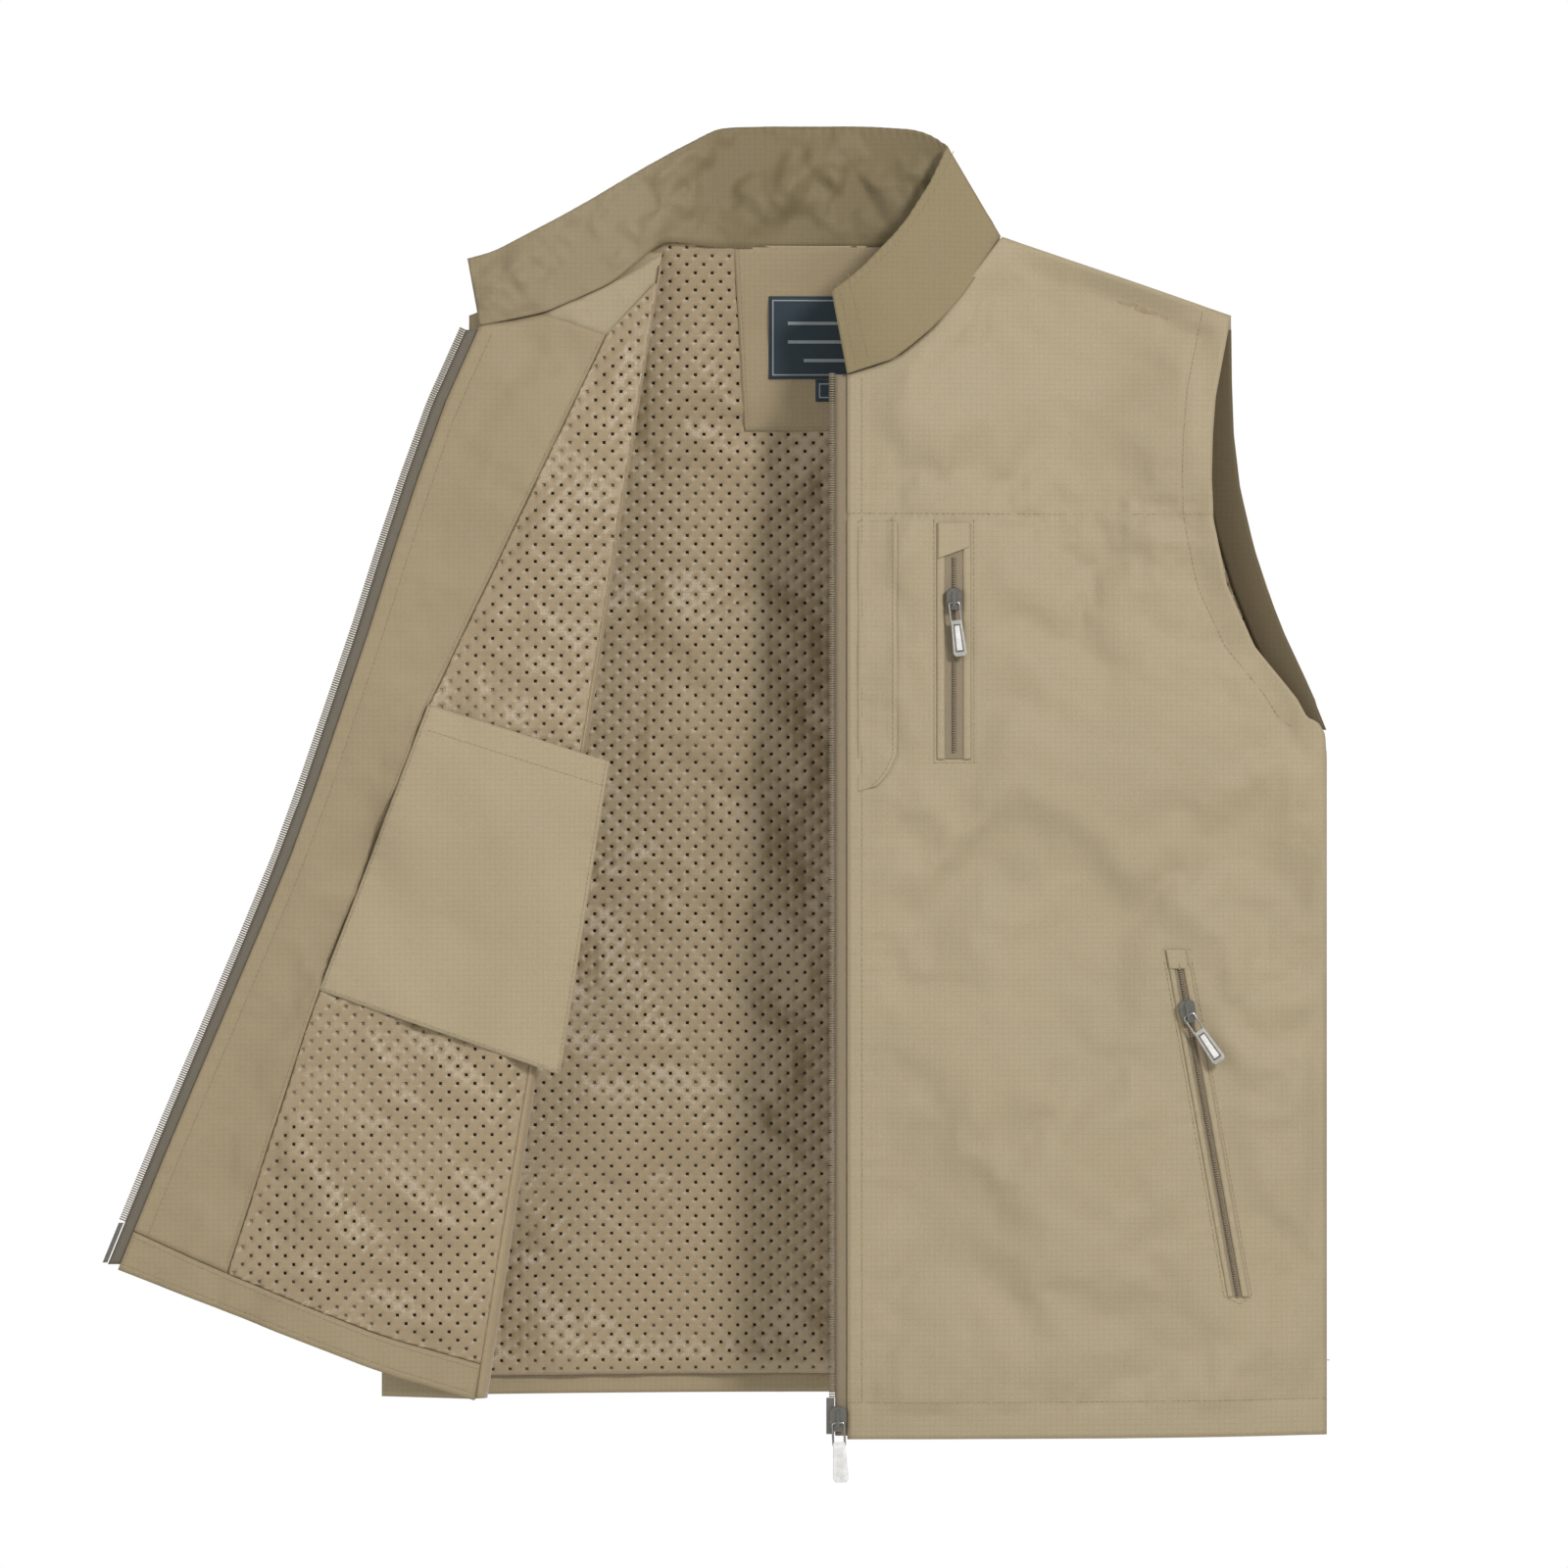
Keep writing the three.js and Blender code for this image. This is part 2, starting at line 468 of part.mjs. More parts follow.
const foldRelief = 3; // keeps the open half's end clear of the stand when it swings shut
const [reliefFoot, reliefTop] = [collarSplit.foot, collarSplit.top].map(([x, z]) => [x - foldRelief, z - 1.5]);
const collarRight = {
  left: line(freeEdge[0], openCollarCorner), right: line(reliefFoot, reliefTop),
  foot: line(...openNeck.slice(0, 3), reliefFoot),
  top: line(openCollarCorner, [-199, -7], [-150, 19], [-112, 42], reliefTop),
};
addPiece("right_collar", openSheet(collarRight, SHELL, [9, 3]), "shell");
addPiece("right_collar_facing", openSheet(collarRight, COLLAR_FACING, [9, 3]), "shell");

// ---- Sliders and pulls
function solid(geometry) {
  const bare = geometry.clone();
  bare.deleteAttribute("normal");
  bare.deleteAttribute("uv");
  const merged = mergeVertices(bare, 1e-4);
  return new wasm.Manifold(new wasm.Mesh({
    numProp: 3, vertProperties: merged.attributes.position.array, triVerts: new Uint32Array(merged.index.array),
  }));
}
function toGeometry(made) {
  const { vertProperties, triVerts } = made.getMesh();
  const geometry = new THREE.BufferGeometry();
  geometry.setAttribute("position", new THREE.BufferAttribute(vertProperties, 3));
  geometry.setIndex(new THREE.BufferAttribute(triVerts, 1));
  geometry.computeVertexNormals();
  return geometry;
}
function slab(outline, bevel, thick) {
  const shape = new THREE.Shape(outline.map(([x, z]) => new THREE.Vector2(x, z)));
  const depth = thick - 2 * bevel;
  const options = { depth, bevelThickness: bevel, bevelSize: bevel, bevelOffset: -bevel, bevelSegments: 1 };
  const made = new THREE.ExtrudeGeometry(shape, options);
  made.translate(0, 0, bevel);
  return made;
}
const SLIDER = { width: 9, length: 13, thick: 3 };
const LINK = { width: 7.2, length: 11, wire: 1.3 };
const EYE = 3.6; // height of the opening under the slider's bridge
const EYE_DROP = 2; // its middle below the slider's middle

// A slider body with its bridge. Local +Z is away from the cloth, +Y is up the zip.
function sliderBody(scale) {
  const [w, l] = [SLIDER.width * scale / 2, SLIDER.length * scale / 2];
  const plan = [[-w * 0.62, -l], [w * 0.62, -l], [w, -l * 0.2], [w, l * 0.7], [w * 0.5, l], [-w * 0.5, l],
    [-w, l * 0.7], [-w, -l * 0.2]];
  const body = solid(slab(plan, 0.5, SLIDER.thick));
  const bridge = solid(new THREE.BoxGeometry(1.6, l * 1.4, 3.2).translate(0, 0, SLIDER.thick + 1.5));
  const eye = solid(new THREE.BoxGeometry(3, EYE, 2.5).translate(0, -EYE_DROP, SLIDER.thick + 1.05));
  return toGeometry(body.add(bridge).subtract(eye));
}
// A pull: a wire link through the bridge and a tab on its other end. It hangs down local -Y,
// and its bar in the bridge's eye lies along local X through the origin.
function pullTab(scale) {
  const [w, l, r] = [LINK.width * scale / 2, LINK.length * scale, LINK.wire / 2];
  const outer = solid(slab([[-w, -l], [w, -l], [w, r], [-w, r]], 0.2, LINK.wire));
  const inner = solid(new THREE.BoxGeometry(2 * w - 2 * LINK.wire, l - 2 * r, 4 * r).translate(0, -l / 2, r));
  const [tw, top, foot] = [TAB.width * scale / 2, -l + 1, -l - TAB.length * scale];
  const tab = slab([[-tw, foot + 2], [-tw + 1.5, foot], [tw - 1.5, foot], [tw, foot + 2], [tw * 0.8, top],
    [-tw * 0.8, top]], 0.4, TAB.thick);
  tab.translate(0, 0, r - TAB.thick / 2);
  return toGeometry(outer.subtract(inner).add(solid(tab)).translate(0, 0, -r));
}

// Sets a local frame (+X across, +Y up the zip, +Z forward) on the cloth at x, z.
function seat(mesh, x, y, z, turn) {
  mesh.rotation.set(Math.PI / 2, 0, 0);
  mesh.rotateZ(turn);
  mesh.position.set(x, y, z);
}
function zipRunner(name, x, z, skin, scale, turn, pullTurn, clear) {
  const y = skin(x, z) - clear;
  seat(addPiece(`${name}_slider`, sliderBody(scale), "metal"), x, y, z, turn);
  const pull = addPiece(`${name}_pull`, pullTab(scale), "pull");
  const barX = x + EYE_DROP * Math.sin(turn);
  seat(pull, barX, y - SLIDER.thick - 1.05, z - EYE_DROP * Math.cos(turn), pullTurn);
}
const onCoil = 1 - COIL[0];
zipRunner("chest", CHEST_ZIP.x, -205, frontSkin, 1, 0, 0.12, onCoil);
const handTilt = Math.atan2(HAND_ZIP.foot[0] - HAND_ZIP.top[0], HAND_ZIP.top[1] - HAND_ZIP.foot[1]);
const handStart = 0.14; // how far down the pocket its slider stands
const handAt = (side) => sided([[lerp(HAND_ZIP.top[0], HAND_ZIP.foot[0], handStart),
  lerp(HAND_ZIP.top[1], HAND_ZIP.foot[1], handStart)]], side)[0];
for (const [name, side] of [["left", 1], ["right", -1]]) {
  const [x, z] = handAt(side);
  zipRunner(`${name}_hand`, x, z, frontSkin, 1.05, side * handTilt, side * 0.6, onCoil);
}
const mainSliderX = tapeEdge - TEETH_WIDTH / 2 + 3.5;
zipRunner("main", mainSliderX, FRONT_HEM + 12, frontSkin, 1.1, 0, 0.05, 0.7);

export default vest;
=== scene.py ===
import json
import math

import bpy
import numpy as np
from mathutils import Matrix, Vector, noise
from mathutils.bvhtree import BVHTree


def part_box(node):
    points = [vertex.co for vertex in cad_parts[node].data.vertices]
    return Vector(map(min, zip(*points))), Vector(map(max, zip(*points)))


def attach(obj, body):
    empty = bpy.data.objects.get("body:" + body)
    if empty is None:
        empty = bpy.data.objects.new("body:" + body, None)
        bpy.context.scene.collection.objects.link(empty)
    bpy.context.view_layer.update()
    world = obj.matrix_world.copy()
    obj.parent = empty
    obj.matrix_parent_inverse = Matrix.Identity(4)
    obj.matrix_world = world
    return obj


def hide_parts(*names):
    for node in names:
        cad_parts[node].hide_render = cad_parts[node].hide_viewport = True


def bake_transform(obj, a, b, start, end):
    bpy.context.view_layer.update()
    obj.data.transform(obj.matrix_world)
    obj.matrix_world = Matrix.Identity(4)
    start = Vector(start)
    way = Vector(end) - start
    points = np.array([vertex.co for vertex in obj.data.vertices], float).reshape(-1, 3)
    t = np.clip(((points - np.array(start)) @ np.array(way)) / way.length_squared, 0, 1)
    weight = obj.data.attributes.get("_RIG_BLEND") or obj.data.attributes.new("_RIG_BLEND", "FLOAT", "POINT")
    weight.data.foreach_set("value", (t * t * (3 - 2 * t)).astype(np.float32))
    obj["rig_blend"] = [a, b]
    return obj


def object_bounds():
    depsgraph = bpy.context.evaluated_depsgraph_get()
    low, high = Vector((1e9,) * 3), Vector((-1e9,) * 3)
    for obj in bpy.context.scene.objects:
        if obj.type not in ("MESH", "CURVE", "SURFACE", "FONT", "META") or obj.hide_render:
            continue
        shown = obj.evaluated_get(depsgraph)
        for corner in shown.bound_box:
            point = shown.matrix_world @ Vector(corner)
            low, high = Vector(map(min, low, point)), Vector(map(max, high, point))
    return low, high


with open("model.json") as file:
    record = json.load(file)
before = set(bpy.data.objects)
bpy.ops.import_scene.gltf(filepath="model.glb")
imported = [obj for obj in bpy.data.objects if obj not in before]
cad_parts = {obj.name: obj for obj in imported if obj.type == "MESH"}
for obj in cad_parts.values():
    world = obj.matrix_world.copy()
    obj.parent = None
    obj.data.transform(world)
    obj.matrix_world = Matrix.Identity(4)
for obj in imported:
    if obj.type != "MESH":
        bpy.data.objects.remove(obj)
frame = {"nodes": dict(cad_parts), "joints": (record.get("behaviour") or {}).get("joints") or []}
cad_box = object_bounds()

MM = 0.001


# The room: a pale round floor well below the hanging vest, a white surround that lights it softly, a
# key lamp high on the wearer's left, a wide weak fill, a wide lamp behind, and a long lens in front.
FLOOR_DROP, FLOOR_RADIUS = 0.45, 1.6
VIEW_CENTRE = Vector((-0.028, 0.0, -0.311))
FRAME_WIDTH, CAMERA_AWAY, SENSOR = 0.904, 6.0, 36.0

scene = bpy.context.scene
scene.view_settings.view_transform = "Standard"
low, high = [Vector(corner) for corner in cad_box]
bpy.ops.mesh.primitive_circle_add(vertices=96, radius=FLOOR_RADIUS, fill_type="NGON",
                                  location=(0, 0, low.z - FLOOR_DROP))
floor = bpy.context.object
floor.name = "floor"
paint = bpy.data.materials.new("pale_floor")
paint.use_nodes = True
paint.node_tree.nodes["Principled BSDF"].inputs["Base Color"].default_value = (0.86, 0.86, 0.85, 1)
paint.node_tree.nodes["Principled BSDF"].inputs["Roughness"].default_value = 0.9
floor.data.materials.append(paint)

world = bpy.data.worlds.new("surround")
world.use_nodes = True
scene.world = world
tree = world.node_tree
soft, white = tree.nodes["Background"], tree.nodes.new("ShaderNodeBackground")
soft.inputs["Color"].default_value = (1.0, 0.985, 0.96, 1)
soft.inputs["Strength"].default_value = 0.45
white.inputs["Color"].default_value = (1, 1, 1, 1)
white.inputs["Strength"].default_value = 1.0
seen = tree.nodes.new("ShaderNodeLightPath")
choose = tree.nodes.new("ShaderNodeMixShader")
tree.links.new(seen.outputs["Is Camera Ray"], choose.inputs[0])
tree.links.new(soft.outputs[0], choose.inputs[1])
tree.links.new(white.outputs[0], choose.inputs[2])
tree.links.new(choose.outputs[0], tree.nodes["World Output"].inputs["Surface"])


def lamp(name, place, size, watts):
    light = bpy.data.objects.new(name, bpy.data.lights.new(name, "AREA"))
    light.data.shape, light.data.size, light.data.energy = "DISK", size, watts
    light.location = place
    light.rotation_euler = (VIEW_CENTRE - Vector(place)).to_track_quat("-Z", "Y").to_euler()
    scene.collection.objects.link(light)


lamp("key_lamp", (1.45, -2.2, 1.0), 0.6, 47)
lamp("fill_lamp", (-1.6, -2.4, 0.2), 1.6, 14)
lamp("back_lamp", (-0.6, 2.4, 1.2), 1.6, 30)

camera = bpy.data.objects.new("camera", bpy.data.cameras.new("camera"))
camera.data.sensor_width = SENSOR
camera.data.lens = SENSOR * CAMERA_AWAY / FRAME_WIDTH
camera.location = VIEW_CENTRE + Vector((0, -CAMERA_AWAY, 0))
camera.rotation_euler = (math.radians(90), 0, 0)
scene.collection.objects.link(camera)
scene.camera = camera


# Shell cloth, left side: light ripstop polyester. One continuous layer from the zip to the side seam,
# cut as yoke and panel, so it creases at the yoke seam and swells softly between its sewn edges.
SHELL_COLOUR = (0.385, 0.315, 0.2)
SHELL_NODES = ("left_front_yoke", "left_front_panel", "left_side_yoke", "left_side_panel")
CLOTH_THICK = 0.6 * MM
GRID_STEP = 3.2 * MM


def cad_edges(names):
    """Both ends of every edge of the named frame pieces."""
    ends = []
    for name in names:
        mesh = frame["nodes"][name].data
        co = np.array([v.co for v in mesh.vertices]).reshape(-1, 3)
        pairs = np.array([e.vertices[:] for e in mesh.edges])
        ends.append(co[pairs])
    return np.concatenate(ends)


def reach(edges, axis, value, other):
    """Lowest and highest other-coordinate where the edges cross axis = value; None at a seam gap."""
    a, b = edges[:, 0], edges[:, 1]
    crossing = (a[:, axis] - value) * (b[:, axis] - value) <= 0
    if not crossing.any():
        return None
    a, b = a[crossing], b[crossing]
    run = b[:, axis] - a[:, axis]
    run[np.abs(run) < 1e-9] = 1e-9
    t = np.clip((value - a[:, axis]) / run, 0, 1)
    found = a[:, other] + t * (b[:, other] - a[:, other])
    return found.min(), found.max()


def rim(edges, axis, side, start, end, count=260):
    """A rim of the pieces as x, z points from corner to corner. axis 2 walks up z and takes the x on
    one side, 0 the low and 1 the high; axis 0 walks along x and takes the z."""
    points = [start]
    order = 1 if axis == 2 else 0
    for value in np.linspace(start[order], end[order], count)[1:-1]:
        found = reach(edges, axis, value, 2 - axis)
        if found is not None:
            points.append((found[side], value) if axis == 2 else (value, found[side]))
    return np.array([*points, end])


def rims_of(names, near=None, straight=False):
    """The four rims of a four-sided piece. near gives its corners roughly where they aren't its
    outermost points; straight joins foot and top by straight ends."""
    edges = cad_edges(names)
    points = edges.reshape(-1, 3)[:, [0, 2]]
    total, slant = points.sum(1), points[:, 0] - points[:, 1]
    picks = [total.argmin(), slant.argmax(), slant.argmin(), total.argmax()]
    if near is not None:
        picks = [np.hypot(*(points - np.array(c)).T).argmin() for c in near]
    low_left, low_right, top_left, top_right = [tuple(points[i]) for i in picks]
    left, right = np.array([low_left, top_left]), np.array([low_right, top_right])
    if not straight:
        left = rim(edges, 2, 0, low_left, top_left)
        right = rim(edges, 2, 1, low_right, top_right)
    return {"left": left, "right": right, "foot": rim(edges, 0, 0, low_left, low_right),
            "top": rim(edges, 0, 1, top_left, top_right)}


def run_length(points):
    return np.hypot(*np.diff(np.asarray(points, float), axis=0).T).sum()


def resample(points, count):
    points = np.asarray(points, float)
    run = np.r_[0, np.cumsum(np.hypot(*np.diff(points, axis=0).T))]
    at = np.linspace(0, run[-1], count)
    return np.stack([np.interp(at, run, points[:, k]) for k in (0, 1)], 1)


def coons(left, right, foot, top, step=GRID_STEP):
    """A grid of x, z points between four rims. left and right run upwards, foot and top to the right."""
    columns = int(max(run_length(foot), run_length(top)) / step) + 2
    rows = int(max(run_length(left), run_length(right)) / step) + 2
    left, right = resample(left, rows)[:, None], resample(right, rows)[:, None]
    foot, top = resample(foot, columns)[None], resample(top, columns)[None]
    u = np.linspace(0, 1, columns)[None, :, None]
    v = np.linspace(0, 1, rows)[:, None, None]
    corners = (1 - u) * (1 - v) * foot[:, :1] + u * (1 - v) * foot[:, -1:]
    corners = corners + (1 - u) * v * top[:, :1] + u * v * top[:, -1:]
    return (1 - v) * foot + v * top + (1 - u) * left + u * right - corners


def smooth(values, passes):
    """Averages a grid with its neighbours; the rim only along itself."""
    for _ in range(passes):
        values = values.copy()
        values[1:-1] = (values[:-2] + values[2:] + 2 * values[1:-1]) / 4
        values[:, 1:-1] = (values[:, :-2] + values[:, 2:] + 2 * values[:, 1:-1]) / 4
    return values


def solid_of(meshes):
    """A ray-casting tree of several meshes."""
    vertices, faces = [], []
    for mesh in meshes:
        faces += [tuple(i + len(vertices) for i in p.vertices) for p in mesh.polygons]
        vertices += [v.co.copy() for v in mesh.vertices]
    return BVHTree.FromPolygons(vertices, faces)


def met(bvh, x, z, looking=1):
    """The y where a line along Y first meets the surface at each x, z, or NaN; from the front if
    looking is 1, from the back if it is -1."""
    found = np.full(np.shape(x), np.nan)
    for index in np.ndindex(*np.shape(x)):
        hit = bvh.ray_cast(Vector((x[index], -looking, z[index])), Vector((0, looking, 0)))[0]
        if hit is not None:
            found[index] = hit.y
    return found


def fill_gaps(heights):
    """Spreads the known heights into the missing ones."""
    for _ in range(400):
        missing = np.isnan(heights)
        if not missing.any():
            break
        padded = np.pad(heights, 1, constant_values=np.nan)
        around = np.stack([padded[:-2, 1:-1], padded[2:, 1:-1], padded[1:-1, :-2], padded[1:-1, 2:]])
        known = ~np.isnan(around)
        total = np.where(known, around, 0).sum(0)
        found = missing & known.any(0)
        heights[found] = total[found] / known.sum(0)[found]
    return heights


def cad_height(names, grid, looking, passes=60):
    """The smoothed y of the named frame pieces over a grid of x, z."""
    bvh = solid_of([frame["nodes"][n].data for n in names])
    return smooth(fill_gaps(met(bvh, grid[..., 0], grid[..., 1], looking)), passes)


def crumple(x_range, z_range, held, growth, seed, cap, step=7 * MM, frames=22, stiffness=0.35):
    """Wrinkles by cloth simulation: a flat sheet cut larger than the frame that holds it.
    held(x, z) is true where the cloth is sewn down. Returns the relief in y as a function of x, z."""
    columns = int((x_range[1] - x_range[0]) / step) + 1
    rows = int((z_range[1] - z_range[0]) / step) + 1
    xs, zs = np.meshgrid(np.linspace(*x_range, columns), np.linspace(*z_range, rows))
    rise = 2.5 * MM * noisy(xs, zs, 0.11, seed)
    sewn = held(xs, zs)
    sewn[[0, -1]] = True
    sewn[:, [0, -1]] = True
    relief = rise
    co = np.stack([xs, rise, zs], 2).reshape(-1, 3)
    index = np.arange(rows * columns).reshape(rows, columns)
    quads = np.stack([index[:-1, :-1], index[:-1, 1:], index[1:, 1:], index[1:, :-1]], 2).reshape(-1, 4)
    mesh = bpy.data.meshes.new("settling")
    mesh.from_pydata(co.tolist(), [], quads.tolist())
    sheet = bpy.data.objects.new("settling", mesh)
    scene.collection.objects.link(sheet)
    pins = sheet.vertex_groups.new(name="sewn")
    pins.add(index[sewn].tolist(), 1.0, "REPLACE")
    cloth = sheet.modifiers.new("cloth", "CLOTH")
    cloth.settings.quality = 4
    cloth.settings.mass = 0.12
    cloth.settings.tension_stiffness = cloth.settings.compression_stiffness = 18
    cloth.settings.shear_stiffness = 6
    cloth.settings.bending_stiffness = stiffness
    cloth.settings.air_damping = 4
    cloth.settings.vertex_group_mass = "sewn"
    cloth.settings.shrink_min = -growth
    cloth.settings.effector_weights.gravity = 0
    cloth.collision_settings.use_collision = False
    cloth.point_cache.frame_start, cloth.point_cache.frame_end = 1, frames
    for f in range(1, frames + 1):
        scene.frame_set(f)
    done = sheet.evaluated_get(bpy.context.evaluated_depsgraph_get()).to_mesh()
    relief = np.array([v.co for v in done.vertices]).reshape(-1, 3)[:, 1].reshape(rows, columns)
    bpy.data.objects.remove(sheet)
    bpy.data.meshes.remove(mesh)
    scene.frame_set(1)
    relief = cap * np.tanh(np.where(sewn, 0, relief) / cap)

    def read(x, z):
        across = np.clip((x - x_range[0]) / (x_range[1] - x_range[0]) * (columns - 1), 0, columns - 1.001)
        up = np.clip((z - z_range[0]) / (z_range[1] - z_range[0]) * (rows - 1), 0, rows - 1.001)
        i, j = up.astype(int), across.astype(int)
        s, t = up - i, across - j
        s, t = s * s * (3 - 2 * s), t * t * (3 - 2 * t)
        lower = relief[i, j] * (1 - t) + relief[i, j + 1] * t
        upper = relief[i + 1, j] * (1 - t) + relief[i + 1, j + 1] * t
        return lower * (1 - s) + upper * s

    return read


def noisy(x, z, scale, seed, octaves=3, stretch=1.0, turn=0.0):
    """Fractal noise at each x, z; scale is the feature size, longer by stretch along a turned line."""
    c, s = math.cos(turn), math.sin(turn)
    along, across = (c * x + s * z) / (scale * stretch), (c * z - s * x) / scale
    flat = [noise.fractal(Vector((p, seed, q)), 1.0, 2.1, octaves)
            for p, q in zip(np.ravel(along), np.ravel(across))]
    return np.array(flat).reshape(np.shape(x))


def path_distance(x, z, path):
    """Distance from each x, z to a path of x, z points, and how far along the path it is nearest."""
    points = np.stack([np.ravel(x), np.ravel(z)], 1)
    best, along, run = np.full(len(points), 1e9), np.zeros(len(points)), 0.0
    path = np.asarray(path, float)
    for a, b in zip(path[:-1], path[1:]):
        d = b - a
        t = np.clip(((points - a) @ d) / max(d @ d, 1e-12), 0, 1)
        gap = np.hypot(*(points - a - t[:, None] * d).T)
        nearer = gap < best
        best = np.where(nearer, gap, best)
        along = np.where(nearer, run + t * np.hypot(*d), along)
        run += np.hypot(*d)
    return best.reshape(np.shape(x)), along.reshape(np.shape(x))


def seam(x, z, path, depth, width, pucker, seed, pitch=11 * MM, reach_out=14 * MM):
    """The relief of a stitched line: a narrow groove, and puckers that fan out from it."""
    gap, along = path_distance(x, z, path)
    groove = depth * np.exp(-(gap / width) ** 2)
    still = np.zeros_like(along)
    waves = np.sin(along / pitch * 2 * math.pi + 3 * noisy(along, still, 0.05, seed, 2))
    gathered = waves * (0.5 + noisy(along, still, 0.03, seed + 3, 2))
    return groove + pucker * gathered * np.exp(-(gap / reach_out) ** 2)


def cloth(name, grid, heights, material, thick=CLOTH_THICK, outward=-1):
    """A thin closed cloth piece from its outer face; outward is the side in y that shows."""
    rows, columns = heights.shape
    co = np.stack([grid[..., 0], heights, grid[..., 1]], 2).reshape(-1, 3)
    index = np.arange(rows * columns).reshape(rows, columns)
    quads = np.stack([index[:-1, :-1], index[:-1, 1:], index[1:, 1:], index[1:, :-1]], 2).reshape(-1, 4)
    return thin_piece(name, co, quads if outward < 0 else quads[:, ::-1], material, thick)


def thin_piece(name, co, faces, material, thick):
    mesh = bpy.data.meshes.new(name)
    mesh.from_pydata(co.tolist(), [], [tuple(f) for f in faces.tolist()])
    mesh.materials.append(material)
    piece = bpy.data.objects.new(name, mesh)
    scene.collection.objects.link(piece)
    wall = piece.modifiers.new("wall", "SOLIDIFY")
    wall.thickness, wall.offset, wall.use_even_offset = thick, -1, False
    return bake(piece)


def bake(piece):
    """Applies a piece's modifiers to its mesh."""
    made = bpy.data.meshes.new_from_object(piece.evaluated_get(bpy.context.evaluated_depsgraph_get()))
    piece.modifiers.clear()
    old, piece.data = piece.data, made
    bpy.data.meshes.remove(old)
    made.name = piece.name
    made.shade_smooth()
    return piece


def declare(piece, nodes):
    """Hides the frame pieces that a cloth stands for."""
    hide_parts(*nodes)
    return piece


def node_maths(tree):
    """A short way to write sums in a node tree."""
    def apply(operation, first, second=None):
        node = tree.nodes.new("ShaderNodeMath")
        node.operation = operation
        for slot, value in zip(node.inputs, (first, second)):
            if isinstance(value, (int, float)):
                slot.default_value = value
            elif value is not None:
                tree.links.new(value, slot)
        return node.outputs[0]
    return apply


def ripstop_weave():
    """Woven cloth on Object coordinates: fine yarns, a heavier yarn every few millimetres, faint
    cloudiness in the dye. It gives the colour, the height and the roughness."""
    group = bpy.data.node_groups.new("ripstop_weave", "ShaderNodeTree")
    for name, kind in (("Colour", "NodeSocketColor"), ("Yarns per metre", "NodeSocketFloat"),
                       ("Heavy yarns per metre", "NodeSocketFloat"), ("Cloudiness", "NodeSocketFloat"),
                       ("Least roughness", "NodeSocketFloat")):
        group.interface.new_socket(name, in_out="INPUT", socket_type=kind)
    for name, kind in (("Colour", "NodeSocketColor"), ("Height", "NodeSocketFloat"),
                       ("Roughness", "NodeSocketFloat")):
        group.interface.new_socket(name, in_out="OUTPUT", socket_type=kind)
    new, link = group.nodes.new, group.links.new
    given, out = new("NodeGroupInput"), new("NodeGroupOutput")
    place, split = new("ShaderNodeTexCoord"), new("ShaderNodeSeparateXYZ")
    link(place.outputs["Object"], split.inputs[0])
    maths = node_maths(group)

    def yarn(axis, count, sharpness):
        turn = maths("MULTIPLY", maths("MULTIPLY", split.outputs[axis], count), 2 * math.pi)
        wave = maths("ADD", maths("MULTIPLY", maths("SINE", turn), 0.5), 0.5)
        return maths("POWER", wave, sharpness)

    fine = maths("ADD", yarn("X", given.outputs["Yarns per metre"], 1),
                 yarn("Z", given.outputs["Yarns per metre"], 1))
    heavy = maths("MAXIMUM", yarn("X", given.outputs["Heavy yarns per metre"], 9),
                  yarn("Z", given.outputs["Heavy yarns per metre"], 9))
    link(maths("ADD", maths("MULTIPLY", fine, 0.5), maths("MULTIPLY", heavy, 0.6)), out.inputs["Height"])
    cloud, slub = new("ShaderNodeTexNoise"), new("ShaderNodeTexNoise")
    cloud.inputs["Scale"].default_value, cloud.inputs["Detail"].default_value = 14, 4
    slub.inputs["Scale"].default_value = 900
    link(place.outputs["Object"], cloud.inputs["Vector"])
    link(place.outputs["Object"], slub.inputs["Vector"])
    shade = maths("MULTIPLY", maths("SUBTRACT", cloud.outputs["Fac"], 0.5), given.outputs["Cloudiness"])
    shade = maths("ADD", shade, maths("MULTIPLY", maths("SUBTRACT", slub.outputs["Fac"], 0.5), 0.22))
    shade = maths("ADD", shade, maths("MULTIPLY", maths("SUBTRACT", heavy, 0.2), -0.07))
    level, grey, tone = maths("ADD", shade, 1.0), new("ShaderNodeCombineColor"), new("ShaderNodeMix")
    for slot in grey.inputs[:3]:
        link(level, slot)
    tone.data_type, tone.blend_type = "RGBA", "MULTIPLY"
    tone.inputs["Factor"].default_value = 1
    link(given.outputs["Colour"], tone.inputs["A"])
    link(grey.outputs[0], tone.inputs["B"])
    link(tone.outputs["Result"], out.inputs["Colour"])
    link(maths("ADD", maths("MULTIPLY", cloud.outputs["Fac"], 0.12), given.outputs["Least roughness"]),
         out.inputs["Roughness"])
    return group


weave_group = ripstop_weave()


